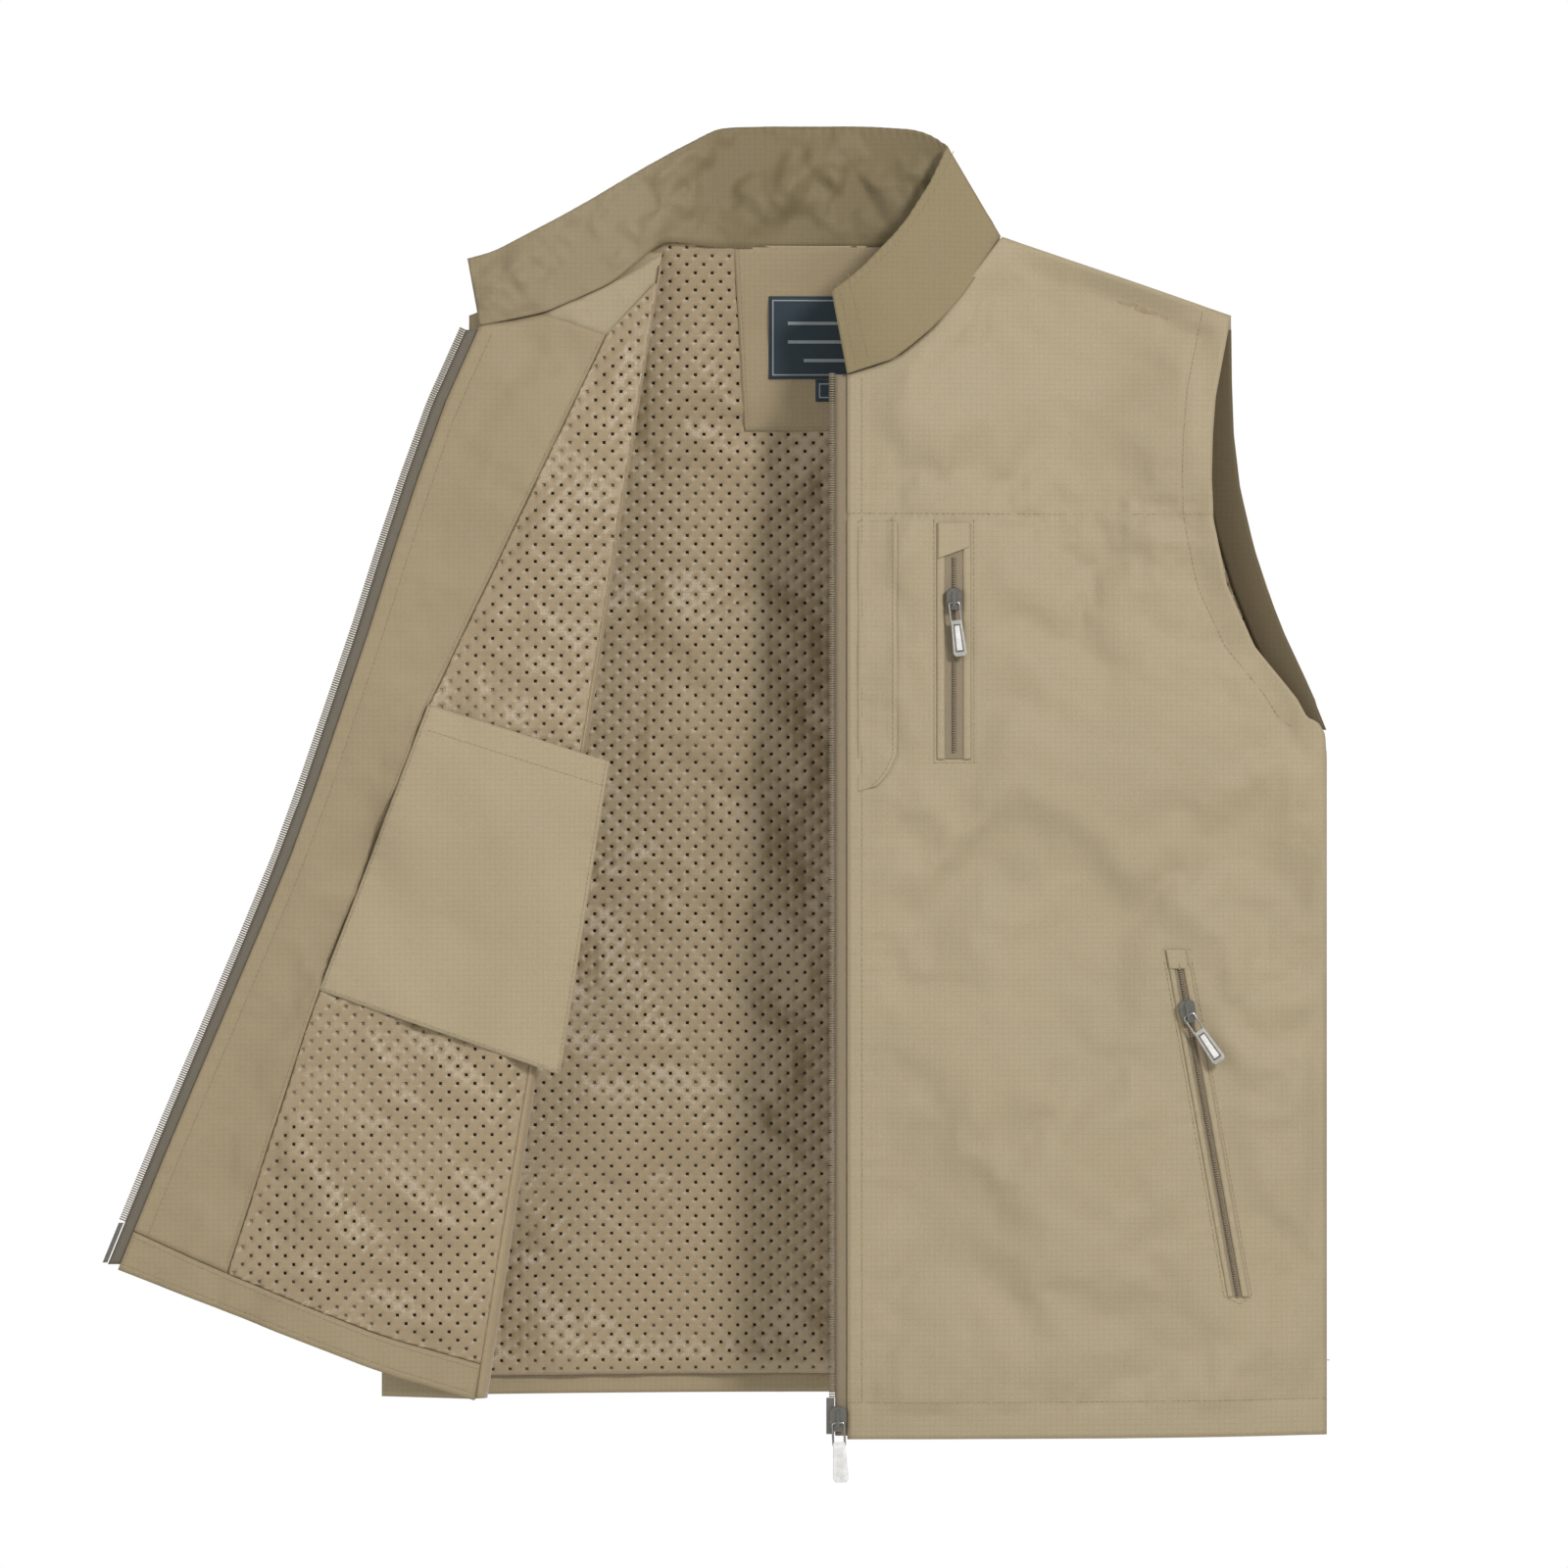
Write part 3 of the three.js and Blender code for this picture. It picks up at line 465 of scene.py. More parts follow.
def woven(name, colour, yarns=1900, heavy=330, cloudiness=0.14, bump=0.28, sheen=0.25, dull=0.56, gloss=0.35):
    """A cloth finish from the weave group."""
    made = bpy.data.materials.new(name)
    made.use_nodes = True
    tree = made.node_tree
    shader = tree.nodes["Principled BSDF"]
    weave, raised = tree.nodes.new("ShaderNodeGroup"), tree.nodes.new("ShaderNodeBump")
    weave.node_tree = weave_group
    weave.inputs["Colour"].default_value = (*colour, 1)
    weave.inputs["Yarns per metre"].default_value = yarns
    weave.inputs["Heavy yarns per metre"].default_value = heavy
    weave.inputs["Cloudiness"].default_value = cloudiness
    weave.inputs["Least roughness"].default_value = dull
    raised.inputs["Strength"].default_value = bump
    raised.inputs["Distance"].default_value = 0.12 * MM
    tree.links.new(weave.outputs["Height"], raised.inputs["Height"])
    tree.links.new(weave.outputs["Colour"], shader.inputs["Base Color"])
    tree.links.new(weave.outputs["Roughness"], shader.inputs["Roughness"])
    tree.links.new(raised.outputs["Normal"], shader.inputs["Normal"])
    shader.inputs["Sheen Weight"].default_value = sheen
    shader.inputs["Sheen Roughness"].default_value = 0.4
    shader.inputs["Specular IOR Level"].default_value = gloss
    return made


def stitch_tree():
    """Thread stitches laid end to end along a path: each a short low-sided rod, slightly sunk."""
    tree = bpy.data.node_groups.new("stitches", "GeometryNodeTree")
    tree.interface.new_socket("Geometry", in_out="OUTPUT", socket_type="NodeSocketGeometry")
    for name, kind in (("Geometry", "NodeSocketGeometry"), ("Pitch", "NodeSocketFloat"),
                       ("Stitch length", "NodeSocketFloat"), ("Thread radius", "NodeSocketFloat"),
                       ("Thread", "NodeSocketMaterial")):
        tree.interface.new_socket(name, in_out="INPUT", socket_type=kind)
    new, link = tree.nodes.new, tree.links.new
    given, out = new("NodeGroupInput"), new("NodeGroupOutput")
    line, points = new("GeometryNodeMeshToCurve"), new("GeometryNodeCurveToPoints")
    rod = new("GeometryNodeMeshCone")
    copies, real, finish = (new("GeometryNodeInstanceOnPoints"), new("GeometryNodeRealizeInstances"),
                            new("GeometryNodeSetMaterial"))
    points.mode = "LENGTH"
    rod.inputs["Vertices"].default_value = 5
    link(given.outputs["Geometry"], line.inputs["Mesh"])
    link(line.outputs["Curve"], points.inputs["Curve"])
    link(given.outputs["Pitch"], points.inputs["Length"])
    link(given.outputs["Stitch length"], rod.inputs["Depth"])
    link(given.outputs["Thread radius"], rod.inputs["Radius Top"])
    link(given.outputs["Thread radius"], rod.inputs["Radius Bottom"])
    turn = new("FunctionNodeAlignRotationToVector")
    turn.axis = "Z"
    link(points.outputs["Tangent"], turn.inputs["Vector"])
    link(points.outputs["Points"], copies.inputs["Points"])
    link(rod.outputs["Mesh"], copies.inputs["Instance"])
    link(turn.outputs["Rotation"], copies.inputs["Rotation"])
    link(copies.outputs["Instances"], real.inputs["Geometry"])
    link(real.outputs["Geometry"], finish.inputs["Geometry"])
    link(given.outputs["Thread"], finish.inputs["Material"])
    link(finish.outputs["Geometry"], out.inputs["Geometry"])
    return tree


stitches = stitch_tree()


def grown(piece, tree, **values):
    """Runs a geometry tree on a piece with its inputs set by name, and keeps the plain mesh."""
    modifier = piece.modifiers.new("made", "NODES")
    modifier.node_group = tree
    for item in tree.interface.items_tree:
        key = item.name.replace(" ", "_")
        if item.in_out == "INPUT" and key in values:
            modifier[item.identifier] = values[key]
    return bake(piece)


def stitched(name, paths, bvh, material, looking=1, lift=0.05 * MM, pitch=3.0 * MM, length=2.1 * MM,
             radius=0.2 * MM):
    """Rows of stitches along x, z paths, laid on a finished cloth."""
    co, links = [], []
    for path in paths:
        dense = resample(path, max(3, int(run_length(path) / (2.5 * MM))))
        y = met(bvh, dense[:, 0], dense[:, 1], looking)
        keep = ~np.isnan(y)
        points = np.stack([dense[keep, 0], y[keep] - looking * lift, dense[keep, 1]], 1)
        links += [(len(co) + i, len(co) + i + 1) for i in range(len(points) - 1)]
        co += points.tolist()
    mesh = bpy.data.meshes.new(name)
    mesh.from_pydata(co, links, [])
    piece = bpy.data.objects.new(name, mesh)
    scene.collection.objects.link(piece)
    made = grown(piece, stitches, Pitch=pitch, Stitch_length=length, Thread_radius=radius, Thread=material)
    return made


joint_of = {j["name"]: j for j in frame["joints"]}


def across_fold(joint, toward, half):
    """Start and end of a bend that runs square to a fold line, half a width each side of it."""
    axis, point = Vector(joint["axis"]).normalized(), Vector(joint["pos_m"])
    direction = (toward - toward.dot(axis) * axis).normalized()
    return point - direction * half, point + direction * half


def line_at(points, z):
    """The x of an upright line of x, z points at the height z."""
    points = np.asarray(points)[np.argsort(np.asarray(points)[:, 1])]
    return np.interp(z, points[:, 1], points[:, 0])


TOPSTITCH = 2.5 * MM  # from a seam or an edge to its row of stitches
GROOVE_WIDTH = 1.3 * MM  # of a stitched seam
shell_cloth = woven("shell_cloth", SHELL_COLOUR)
thread = woven("thread", (0.34, 0.275, 0.17), yarns=3000, sheen=0.1)
left_rims = rims_of(SHELL_NODES)
shoulder = [(60 * MM, -46.2 * MM), (97.3 * MM, 4.6 * MM), (230 * MM, -40.5 * MM)]
for point in left_rims["top"]:
    if shoulder[0][0] < point[0]:
        point[1] = max(point[1], np.interp(point[0], *np.transpose(shoulder)))
underarm = [(-297 * MM, 284.8 * MM), (-281.5 * MM, 283.8 * MM), (-275 * MM, 279.5 * MM)]
for point in left_rims["right"]:
    if underarm[0][0] < point[1] < underarm[-1][0]:
        point[0] = max(point[0], np.interp(point[1], *np.transpose(underarm)))
left_grid = coons(**left_rims)
left_low, left_high = left_rims["foot"].min(0), left_rims["top"].max(0)
yoke_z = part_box("left_side_panel")[1].z
hem_stitch = left_low[1] + 21 * MM
zip_stitch = left_low[0] + 13 * MM
chest_low, chest_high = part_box("chest_zip_tape")
hand_tape = cad_edges(["left_hand_zip_tape"]).reshape(-1, 3)[:, [0, 2]]
hand_low, hand_high = hand_tape[hand_tape[:, 1].argmin()], hand_tape[hand_tape[:, 1].argmax()]
hand_line = [hand_low, hand_high]
chest_x = (chest_low.x + chest_high.x) / 2
chest_line = [(chest_x, chest_low.z), (chest_x, chest_high.z)]
armhole_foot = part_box("left_armhole_facing")[0].z
left_armhole = [p for p in left_rims["right"] if p[1] > armhole_foot]
LEFT_SEAMS = {  # path, groove depth, pucker, seed
    "yoke": ([(left_low[0], yoke_z), (line_at(left_rims["right"], yoke_z), yoke_z)], 1.1, 0.45, 1.0),
    "hem": ([(left_low[0], hem_stitch), (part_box("left_side_panel")[1].x, hem_stitch)], 0.35, 0.6, 2.0),
    "zip": ([(zip_stitch, hem_stitch), (zip_stitch, left_rims["left"][-1][1] - 4 * MM)], 0.45, 0.5, 4.0),
    "armhole": (resample([(p[0] - 17 * MM, p[1]) for p in left_armhole], 30), 0.4, 0.4, 7.0),
    "chest": (chest_line, 0.0, 0.25, 9.0),
    "hand": (hand_line, 0.0, 0.5, 11.0),
}


def moved(points, across=0.0, up=0.0):
    """The x, z points of a path, moved sideways and up."""
    return [(p[0] + across, p[1] + up) for p in points]


def kept_flat(x, z, lines, near=9 * MM, far=34 * MM):
    """0 near the lines that hold the cloth flat, rising to 1 away from them."""
    gap = np.min([path_distance(x, z, line)[0] for line in lines], axis=0)
    t = np.clip((gap - near) / (far - near), 0, 1)
    return t * t * (3 - 2 * t)


def left_held(x, z):
    near_hand = path_distance(x, z, hand_line)[0] < 11 * MM
    near_chest = path_distance(x, z, chest_line)[0] < 14 * MM
    return (np.abs(z - yoke_z) < 4 * MM) | (x < zip_stitch) | (z < hem_stitch) | near_hand | near_chest


left_wrinkles = crumple((left_low[0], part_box("left_side_panel")[1].x), (left_low[1], left_high[1]),
                        left_held, 0.012, 3.1, 5 * MM)


def left_relief(x, z):
    """How far the left front's cloth stands forward of its smooth shape."""
    ease = kept_flat(x, z, [left_rims["left"][::8], hand_line, chest_line])
    for key in ("right", "top"):
        ease = ease * np.clip(path_distance(x, z, left_rims[key][::6])[0] / (14 * MM), 0, 1)
    swell = 1.3 * left_wrinkles(x, z) + 4.2 * MM * noisy(x, z, 0.11, 5.0, 2, stretch=1.6, turn=-0.6)
    swell = swell + 1.5 * MM * noisy(x, z, 0.035, 6.0, stretch=3, turn=-0.5)
    relief = swell * ease
    for path, depth, pucker, seed in LEFT_SEAMS.values():
        relief = relief - seam(x, z, path, depth * MM, GROOVE_WIDTH, pucker * MM, seed)
    return relief


x, z = left_grid[..., 0], left_grid[..., 1]
left_height = cad_height(SHELL_NODES, left_grid, 1) - left_relief(x, z)
left_shell = cloth("left_shell", left_grid, left_height, shell_cloth)
left_skin = solid_of([left_shell.data])
declare(left_shell, SHELL_NODES)
LEFT_BEND = 13 * MM
left_bend = across_fold(joint_of["left_front_fold"], Vector((-1, 0, 0)), LEFT_BEND)
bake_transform(left_shell, "torso", "left_front", *left_bend)
inner_zip = moved(LEFT_SEAMS["zip"][0], -4.5 * MM)
left_thread = stitched(
    "left_shell_stitches",
    [inner_zip, LEFT_SEAMS["hem"][0], LEFT_SEAMS["armhole"][0],
     moved(LEFT_SEAMS["yoke"][0], up=TOPSTITCH)], left_skin, thread)
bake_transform(left_thread, "torso", "left_front", *left_bend)


# Shell cloth, right side: the same cloth, one layer from the side seam to a soft fold and over to the
# zip edge, so that the open front shows its lining and its shell faces back.
OPEN_NODES = ("right_front_yoke", "right_front_panel")
SIDE_NODES = ("right_side_yoke", "right_side_panel")
open_rims = rims_of(OPEN_NODES)
side_rims = rims_of(SIDE_NODES)
open_grid = coons(**open_rims)
side_grid = coons(**side_rims)
FREE_EDGE = open_rims["left"]
EDGE_STITCH = 9 * MM  # from the zip edge or an armhole to its row of stitches
FOLD_LINE = open_rims["right"]
open_yoke = rims_of(["right_front_yoke"])["foot"][::6]
side_yoke = rims_of(["right_side_yoke"])["foot"][::6]
open_low = open_rims["foot"].min(0)
open_wrinkles = crumple((open_low[0], FOLD_LINE[:, 0].max()), (open_low[1], 0.0),
                        lambda x, z: path_distance(x, z, FREE_EDGE[::8])[0] < EDGE_STITCH,
                        0.015, 13.0, 6 * MM)


def open_relief(x, z):
    """How far the open front's cloth stands forward of its smooth shape."""
    ease = kept_flat(x, z, [FREE_EDGE[::8]], 4 * MM, 40 * MM)
    ease = ease * np.clip(path_distance(x, z, FOLD_LINE[::8])[0] / (45 * MM), 0, 1)
    ripples = 2.2 * MM * noisy(x, z, 0.05, 15.0, stretch=3.5, turn=-0.9)
    relief = (open_wrinkles(x, z) + 2.5 * MM * noisy(x, z, 0.12, 14.0) + ripples) * ease
    edge = moved(FREE_EDGE[::4], EDGE_STITCH)
    relief = relief + seam(x, z, open_yoke, 0.7 * MM, GROOVE_WIDTH, 0.3 * MM, 19.0)
    return relief - seam(x, z, edge, 0.35 * MM, GROOVE_WIDTH, 0.55 * MM, 16.0)


open_height = cad_height(OPEN_NODES, open_grid, 1) - open_relief(open_grid[..., 0], open_grid[..., 1])
right_shell = cloth("right_front_shell", open_grid, open_height + CLOTH_THICK, shell_cloth, outward=1)
right_skin = solid_of([right_shell.data])
declare(right_shell, OPEN_NODES)
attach(right_shell, "right_front")
right_thread = stitched("right_shell_stitches", [
    moved(FREE_EDGE[3:-3], EDGE_STITCH),
    moved(open_yoke[1:-1], up=TOPSTITCH)], right_skin, thread, looking=-1)
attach(right_thread, "right_front")
x, z = side_grid[..., 0], side_grid[..., 1]
side_height = cad_height(SIDE_NODES, side_grid, 1)
side_ease = kept_flat(x, z, [side_rims[key][::8] for key in ("left", "right")], 0, 30 * MM)
side_height = side_height - 1.5 * MM * noisy(x, z, 0.08, 18.0) * side_ease
side_height = side_height + seam(x, z, side_yoke, 0.9 * MM, GROOVE_WIDTH, 0.3 * MM, 20.0)
side_shell = cloth("right_side_shell", side_grid, side_height, shell_cloth)
side_skin = solid_of([side_shell.data])
declare(side_shell, SIDE_NODES)
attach(side_shell, "torso")


# Layers laid on cloth: a piece sewn on top follows the finished cloth below it, a fraction of a
# millimetre proud of it, and a lining or facing stays a little behind the cloth that covers it.

THIN_CLOTH = 0.35 * MM


def cleared(y, looking, reach_out):
    """Each height replaced by the one that stands out most among its near neighbours."""
    for _ in range(reach_out):
        padded = np.pad(y, 1, mode="edge")
        around = np.stack([padded[:-2, 1:-1], padded[2:, 1:-1], padded[1:-1, :-2], padded[1:-1, 2:], y])
        y = around.min(0) if looking > 0 else around.max(0)
    return y


def behind(y, x, z, skin, room=1.2 * MM):
    """Heights kept at least a little behind a layer that covers them."""
    front = met(skin, x, z)
    return np.where(np.isnan(front), y, np.maximum(y, np.nan_to_num(front) + room))


def laid_on(name, rims, bvh, material, lift, thick=THIN_CLOTH, looking=1, step=2.2 * MM, relief=None,
            passes=2, clear=0):
    """A sheet that lies on a finished cloth, lift proud of it on the side that shows."""
    grid = coons(**rims, step=step)
    y = cleared(fill_gaps(met(bvh, grid[..., 0], grid[..., 1], looking)), looking, clear)
    y = smooth(y, passes) - looking * lift
    if relief is not None:
        y = y - looking * relief(grid[..., 0], grid[..., 1])
    return cloth(name, grid, y, material, thick, outward=-looking)


def block(x0, x1, z0, z1):
    """The rims of an upright rectangle."""
    return {"left": np.array([(x0, z0), (x0, z1)]), "right": np.array([(x1, z0), (x1, z1)]),
            "foot": np.array([(x0, z0), (x1, z0)]), "top": np.array([(x0, z1), (x1, z1)])}


def slanted(foot, top, left, right):
    """The rims of a strip along the line from foot to top, from left to right of it in x."""
    (x0, z0), (x1, z1) = foot, top
    return {"left": np.array([(x0 + left, z0), (x1 + left, z1)]),
            "right": np.array([(x0 + right, z0), (x1 + right, z1)]),
            "foot": np.array([(x0 + left, z0), (x0 + right, z0)]),
            "top": np.array([(x1 + left, z1), (x1 + right, z1)])}


# Mesh lining: warp-knitted polyester, shinier and warmer than the shell, with rows of small oval holes
# set like bricks. It hangs a little loose inside the vest and bags over the hem bands.
MESH_STEP = 2.45 * MM
MESH_COLOUR = (0.345, 0.262, 0.152)


def perforation_tree():
    """Opens two cells in each block of four by four, half a block apart, and draws their corners in."""
    tree = bpy.data.node_groups.new("perforations", "GeometryNodeTree")
    tree.interface.new_socket("Geometry", in_out="OUTPUT", socket_type="NodeSocketGeometry")
    for name, kind in (("Geometry", "NodeSocketGeometry"), ("Corner draw", "NodeSocketFloat"),
                       ("Cloth", "NodeSocketMaterial")):
        tree.interface.new_socket(name, in_out="INPUT", socket_type=kind)
    new, link = tree.nodes.new, tree.links.new
    given, out = new("NodeGroupInput"), new("NodeGroupOutput")
    maths = node_maths(tree)

    def stored(name):
        node = new("GeometryNodeInputNamedAttribute")
        node.data_type = "FLOAT"
        node.inputs["Name"].default_value = name
        return next(s for s in node.outputs if s.enabled)

    across, up = maths("MODULO", stored("point_column"), 4), maths("MODULO", stored("point_row"), 4)
    first = maths("MULTIPLY", maths("LESS_THAN", across, 1.5), maths("LESS_THAN", up, 1.5))
    second = maths("MULTIPLY", maths("GREATER_THAN", across, 1.5), maths("GREATER_THAN", up, 1.5))
    draw = maths("MULTIPLY", maths("ADD", first, second), stored("point_inner"))
    draw = maths("MULTIPLY", draw, given.outputs["Corner draw"])
    shift = new("ShaderNodeCombineXYZ")
    for key, value in (("X", across), ("Z", up)):
        side = maths("SUBTRACT", 1, maths("MULTIPLY", maths("MODULO", value, 2), 2))
        link(maths("MULTIPLY", side, draw), shift.inputs[key])
    drawn, open_up, finish = (new("GeometryNodeSetPosition"), new("GeometryNodeDeleteGeometry"),
                              new("GeometryNodeSetMaterial"))
    link(given.outputs["Geometry"], drawn.inputs["Geometry"])
    link(shift.outputs[0], drawn.inputs["Offset"])
    column, row = maths("MODULO", stored("face_column"), 4), maths("MODULO", stored("face_row"), 4)
    offset = maths("ADD", maths("ABSOLUTE", maths("SUBTRACT", column, row)), maths("MODULO", column, 2))
    hole = maths("MULTIPLY", maths("LESS_THAN", offset, 0.5), stored("face_inner"))
    open_up.domain = "FACE"
    link(drawn.outputs["Geometry"], open_up.inputs["Geometry"])
    link(hole, open_up.inputs["Selection"])
    link(open_up.outputs["Geometry"], finish.inputs["Geometry"])
    link(given.outputs["Cloth"], finish.inputs["Material"])
    link(finish.outputs["Geometry"], out.inputs["Geometry"])
    return tree


perforations = perforation_tree()
mesh_cloth = woven("mesh_cloth", MESH_COLOUR, yarns=1300, heavy=820, cloudiness=0.2, bump=0.5, sheen=0.5,
                   dull=0.30, gloss=0.62)


def mesh_lining(name, nodes, relief, rides, looking=1, thick=0.4 * MM, corner_draw=0.32 * MM, cover=None,
                shrink=1.0):
    """A perforated lining cut to the outline of its frame pieces, with its holes square to the cloth."""
    corners = np.array([[*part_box(n)[0], *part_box(n)[1]] for n in nodes])
    low, high = corners[:, :3].min(0), corners[:, 3:].max(0)
    xs = np.arange(low[0] - MESH_STEP, high[0] + 1.9 * MESH_STEP, MESH_STEP)
    zs = np.arange(low[2] - MESH_STEP, high[2] + 1.9 * MESH_STEP, MESH_STEP)
    x, z = np.meshgrid(xs, zs)
    bvh = solid_of([frame["nodes"][n].data for n in nodes])
    y = met(bvh, x, z, looking)
    inside = ~np.isnan(y)
    smoothed = smooth(fill_gaps(y), 60)
    kept = inside[:-1, :-1] | inside[:-1, 1:] | inside[1:, :-1] | inside[1:, 1:]
    around = np.zeros(x.shape, int)
    for i, j in ((0, 0), (0, 1), (1, 0), (1, 1)):
        around[i:i + kept.shape[0], j:j + kept.shape[1]] += kept
    for index in zip(*np.nonzero((around > 0) & (around < 4))):
        near = bvh.find_nearest(Vector((x[index], smoothed[index], z[index])))[0]
        x[index], z[index] = near.x, near.z
    y = smoothed - looking * relief(x, z)
    if cover is not None:
        y = cleared(behind(y, x, z, cover), -1, 1)
    x, z = x + (shrink - 1) * (x - (low[0] + high[0]) / 2), z + (shrink - 1) * (z - (low[2] + high[2]) / 2)
    used = around > 0
    number = np.cumsum(used.ravel()).reshape(x.shape) - 1
    co = np.stack([x, y, z], 2)[used]
    corner = [number[:-1, :-1][kept], number[:-1, 1:][kept], number[1:, 1:][kept], number[1:, :-1][kept]]
    faces = np.stack(corner if looking > 0 else corner[::-1], 1)
    mesh = bpy.data.meshes.new(name)
    mesh.from_pydata(co.tolist(), [], [tuple(f) for f in faces.tolist()])
    mesh.materials.append(mesh_cloth)
    rows_at, columns_at = np.nonzero(used)
    face_rows, face_columns = np.nonzero(kept)
    inner = (around == 4)
    inner_face = inner[:-1, :-1] & inner[:-1, 1:] & inner[1:, :-1] & inner[1:, 1:]
    for key, domain, values in (
            ("point_column", "POINT", columns_at), ("point_row", "POINT", rows_at),
            ("point_inner", "POINT", inner[used]), ("face_column", "FACE", face_columns),
            ("face_row", "FACE", face_rows), ("face_inner", "FACE", inner_face[kept])):
        mesh.attributes.new(key, "FLOAT", domain).data.foreach_set("value", values.astype(np.float32))
    piece = bpy.data.objects.new(name, mesh)
    scene.collection.objects.link(piece)
    whole = BVHTree.FromPolygons([Vector(c) for c in co], [tuple(f) for f in faces.tolist()])
    grown(piece, perforations, Corner_draw=corner_draw, Cloth=mesh_cloth)
    for key in [a.name for a in piece.data.attributes if a.name.startswith(("point_", "face_"))]:
        piece.data.attributes.remove(piece.data.attributes[key])
    wall = piece.modifiers.new("wall", "SOLIDIFY")
    wall.thickness, wall.offset = thick, -1
    bake(piece)
    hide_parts(*nodes)
    if rides is not None:
        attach(piece, rides)
    return piece, whole


LAYER_ROOM = 0.6 * MM
left_lining, _ = mesh_lining(
    "left_lining_mesh", ["left_front_lining", "left_side_lining", "left_side_yoke_lining"],
    lambda x, z: left_relief(x, z) - LAYER_ROOM, None, cover=left_skin)
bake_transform(left_lining, "torso", "left_front", *left_bend)
mesh_lining("right_side_lining_mesh", ["right_side_lining", "right_side_yoke_lining"],
            lambda x, z: np.full(np.shape(x), -LAYER_ROOM), "torso", cover=side_skin)

open_lining_rims = rims_of(["right_front_lining"])
open_lining_edges = [open_lining_rims[k][::8] for k in ("left", "right", "foot", "top")]
loose_folds = crumple((open_lining_rims["foot"][:, 0].min(), FOLD_LINE[:, 0].max()),
                      (open_lining_rims["foot"][:, 1].min(), open_lining_rims["top"][:, 1].max()),
                      lambda x, z: np.zeros(np.shape(x), bool), 0.035, 23.0, 7 * MM, stiffness=0.12)


def open_lining_relief(x, z):
    """The open side's lining: the shell's own relief, and loose folds that only stand forward."""
    slack = 0.5 * loose_folds(x, z) + 3.6 * MM * noisy(x, z, 0.028, 21.0, stretch=2.6, turn=-0.75)
    slack = np.maximum(slack + 1.6 * MM, 0)
    return open_relief(x, z) + slack * kept_flat(x, z, open_lining_edges, 1 * MM, 16 * MM)


_, open_lining_skin = mesh_lining("right_front_lining_mesh", ["right_front_lining"], open_lining_relief,
                                  "right_front")

back_rims = rims_of(["back_shell"])
back_low, back_high = back_rims["foot"].min(0), back_rims["foot"].max(0)
back_folds = crumple((back_low[0], back_high[0]), (back_low[1], 0.0), lambda x, z: z > -30 * MM, 0.02, 31.0,
                     9 * MM, step=9 * MM, stiffness=0.2)
band_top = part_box("back_hem_band")[1].z
BAGGING = 3.5 * MM


def back_lining_relief(x, z):
    """The back lining: soft folds that stand into the vest, and slack that bags over the hem band."""
    folds = back_folds(x, z) + 3.0 * MM * noisy(x, z, 0.055, 33.0, stretch=3.0, turn=-1.15)
    folds = np.maximum(folds + 1.5 * MM, 0) + 1.2 * MM * np.abs(noisy(x, z, 0.02, 34.0, stretch=2, turn=-0.8))
    ease = np.clip(-z / (90 * MM), 0, 1) * np.clip((z - back_low[1]) / (25 * MM), 0.2, 1)
    sides = np.clip(np.minimum(x - back_low[0], back_high[0] - x) / (40 * MM), 0, 1)
    sag = BAGGING * np.exp(-((z - band_top + 4 * MM) / (7 * MM)) ** 2)
    armholes = [back_rims["left"][::6], back_rims["right"][::6], back_rims["top"][::6]]
    sides = sides * kept_flat(x, z, armholes, 20 * MM, 45 * MM)
    return (folds * ease + sag) * sides + LAYER_ROOM


_, back_lining_skin = mesh_lining("back_lining_mesh", ["back_lining"], back_lining_relief, "torso",
                                  shrink=0.994)


# Back of the shell: one wide panel of the shell cloth from the shoulders to the hem, with rows of
# stitches beside the armholes and along the hem.
back_grid = coons(**back_rims)
back_armholes = [[p for p in back_rims[k] if p[1] > armhole_foot] for k in ("left", "right")]
back_hem_stitch = [(back_low[0], band_top), (back_high[0], band_top)]


def back_relief(x, z):
    """How far the back stands out from its smooth shape."""
    edges = [back_rims[k][::8] for k in ("left", "right", "top")]
    swell = back_folds(-x, z) + 4.5 * MM * noisy(x, z, 0.11, 36.0, 2, stretch=1.6, turn=0.6) + 1 * MM
    relief = np.maximum(swell, -0.5 * MM) * kept_flat(x, z, edges, 4 * MM, 45 * MM)
    for path, pucker in ((back_hem_stitch, 0.5), (back_armholes[0], 0.4), (back_armholes[1], 0.4)):
        thinned = path[::3] if len(path) > 9 else path
        relief = relief - seam(x, z, thinned, 0.3 * MM, GROOVE_WIDTH, pucker * MM, 37.0)
    return relief


x, z = back_grid[..., 0], back_grid[..., 1]
back_height = cad_height(["back_shell"], back_grid, -1) + back_relief(x, z)
back_shell = cloth("back_shell_cloth", back_grid, back_height, shell_cloth, outward=1)
back_skin = solid_of([back_shell.data])
declare(back_shell, ["back_shell"])
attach(back_shell, "torso")
back_thread = stitched("back_shell_stitches", [
    back_hem_stitch, moved(back_armholes[0][1:], EDGE_STITCH),
    moved(back_armholes[1][1:], -EDGE_STITCH)], back_skin, thread, looking=-1)
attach(back_thread, "torso")


# Facings, hem bands and pocket bags: thin shell cloth that finishes the edges inside, and bags of
# plainer cloth behind the pocket zips. The neck and the open front have rows of stitches.
def band(name, node, relief, rides, colour=None, cover=None):
    """A shell-cloth piece cut to a frame piece's own outline: a facing, a hem band or a bag."""
    rims = rims_of([node])
    grid = coons(**rims)
    y = cad_height([node], grid, 1, 20) - relief(grid[..., 0], grid[..., 1])
    if cover is not None:
        y = behind(y, grid[..., 0], grid[..., 1], cover)
    piece = cloth(name, grid, y, colour or facing_cloth, THIN_CLOTH)
    declare(piece, [node])
    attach(piece, rides)
    return piece, rims


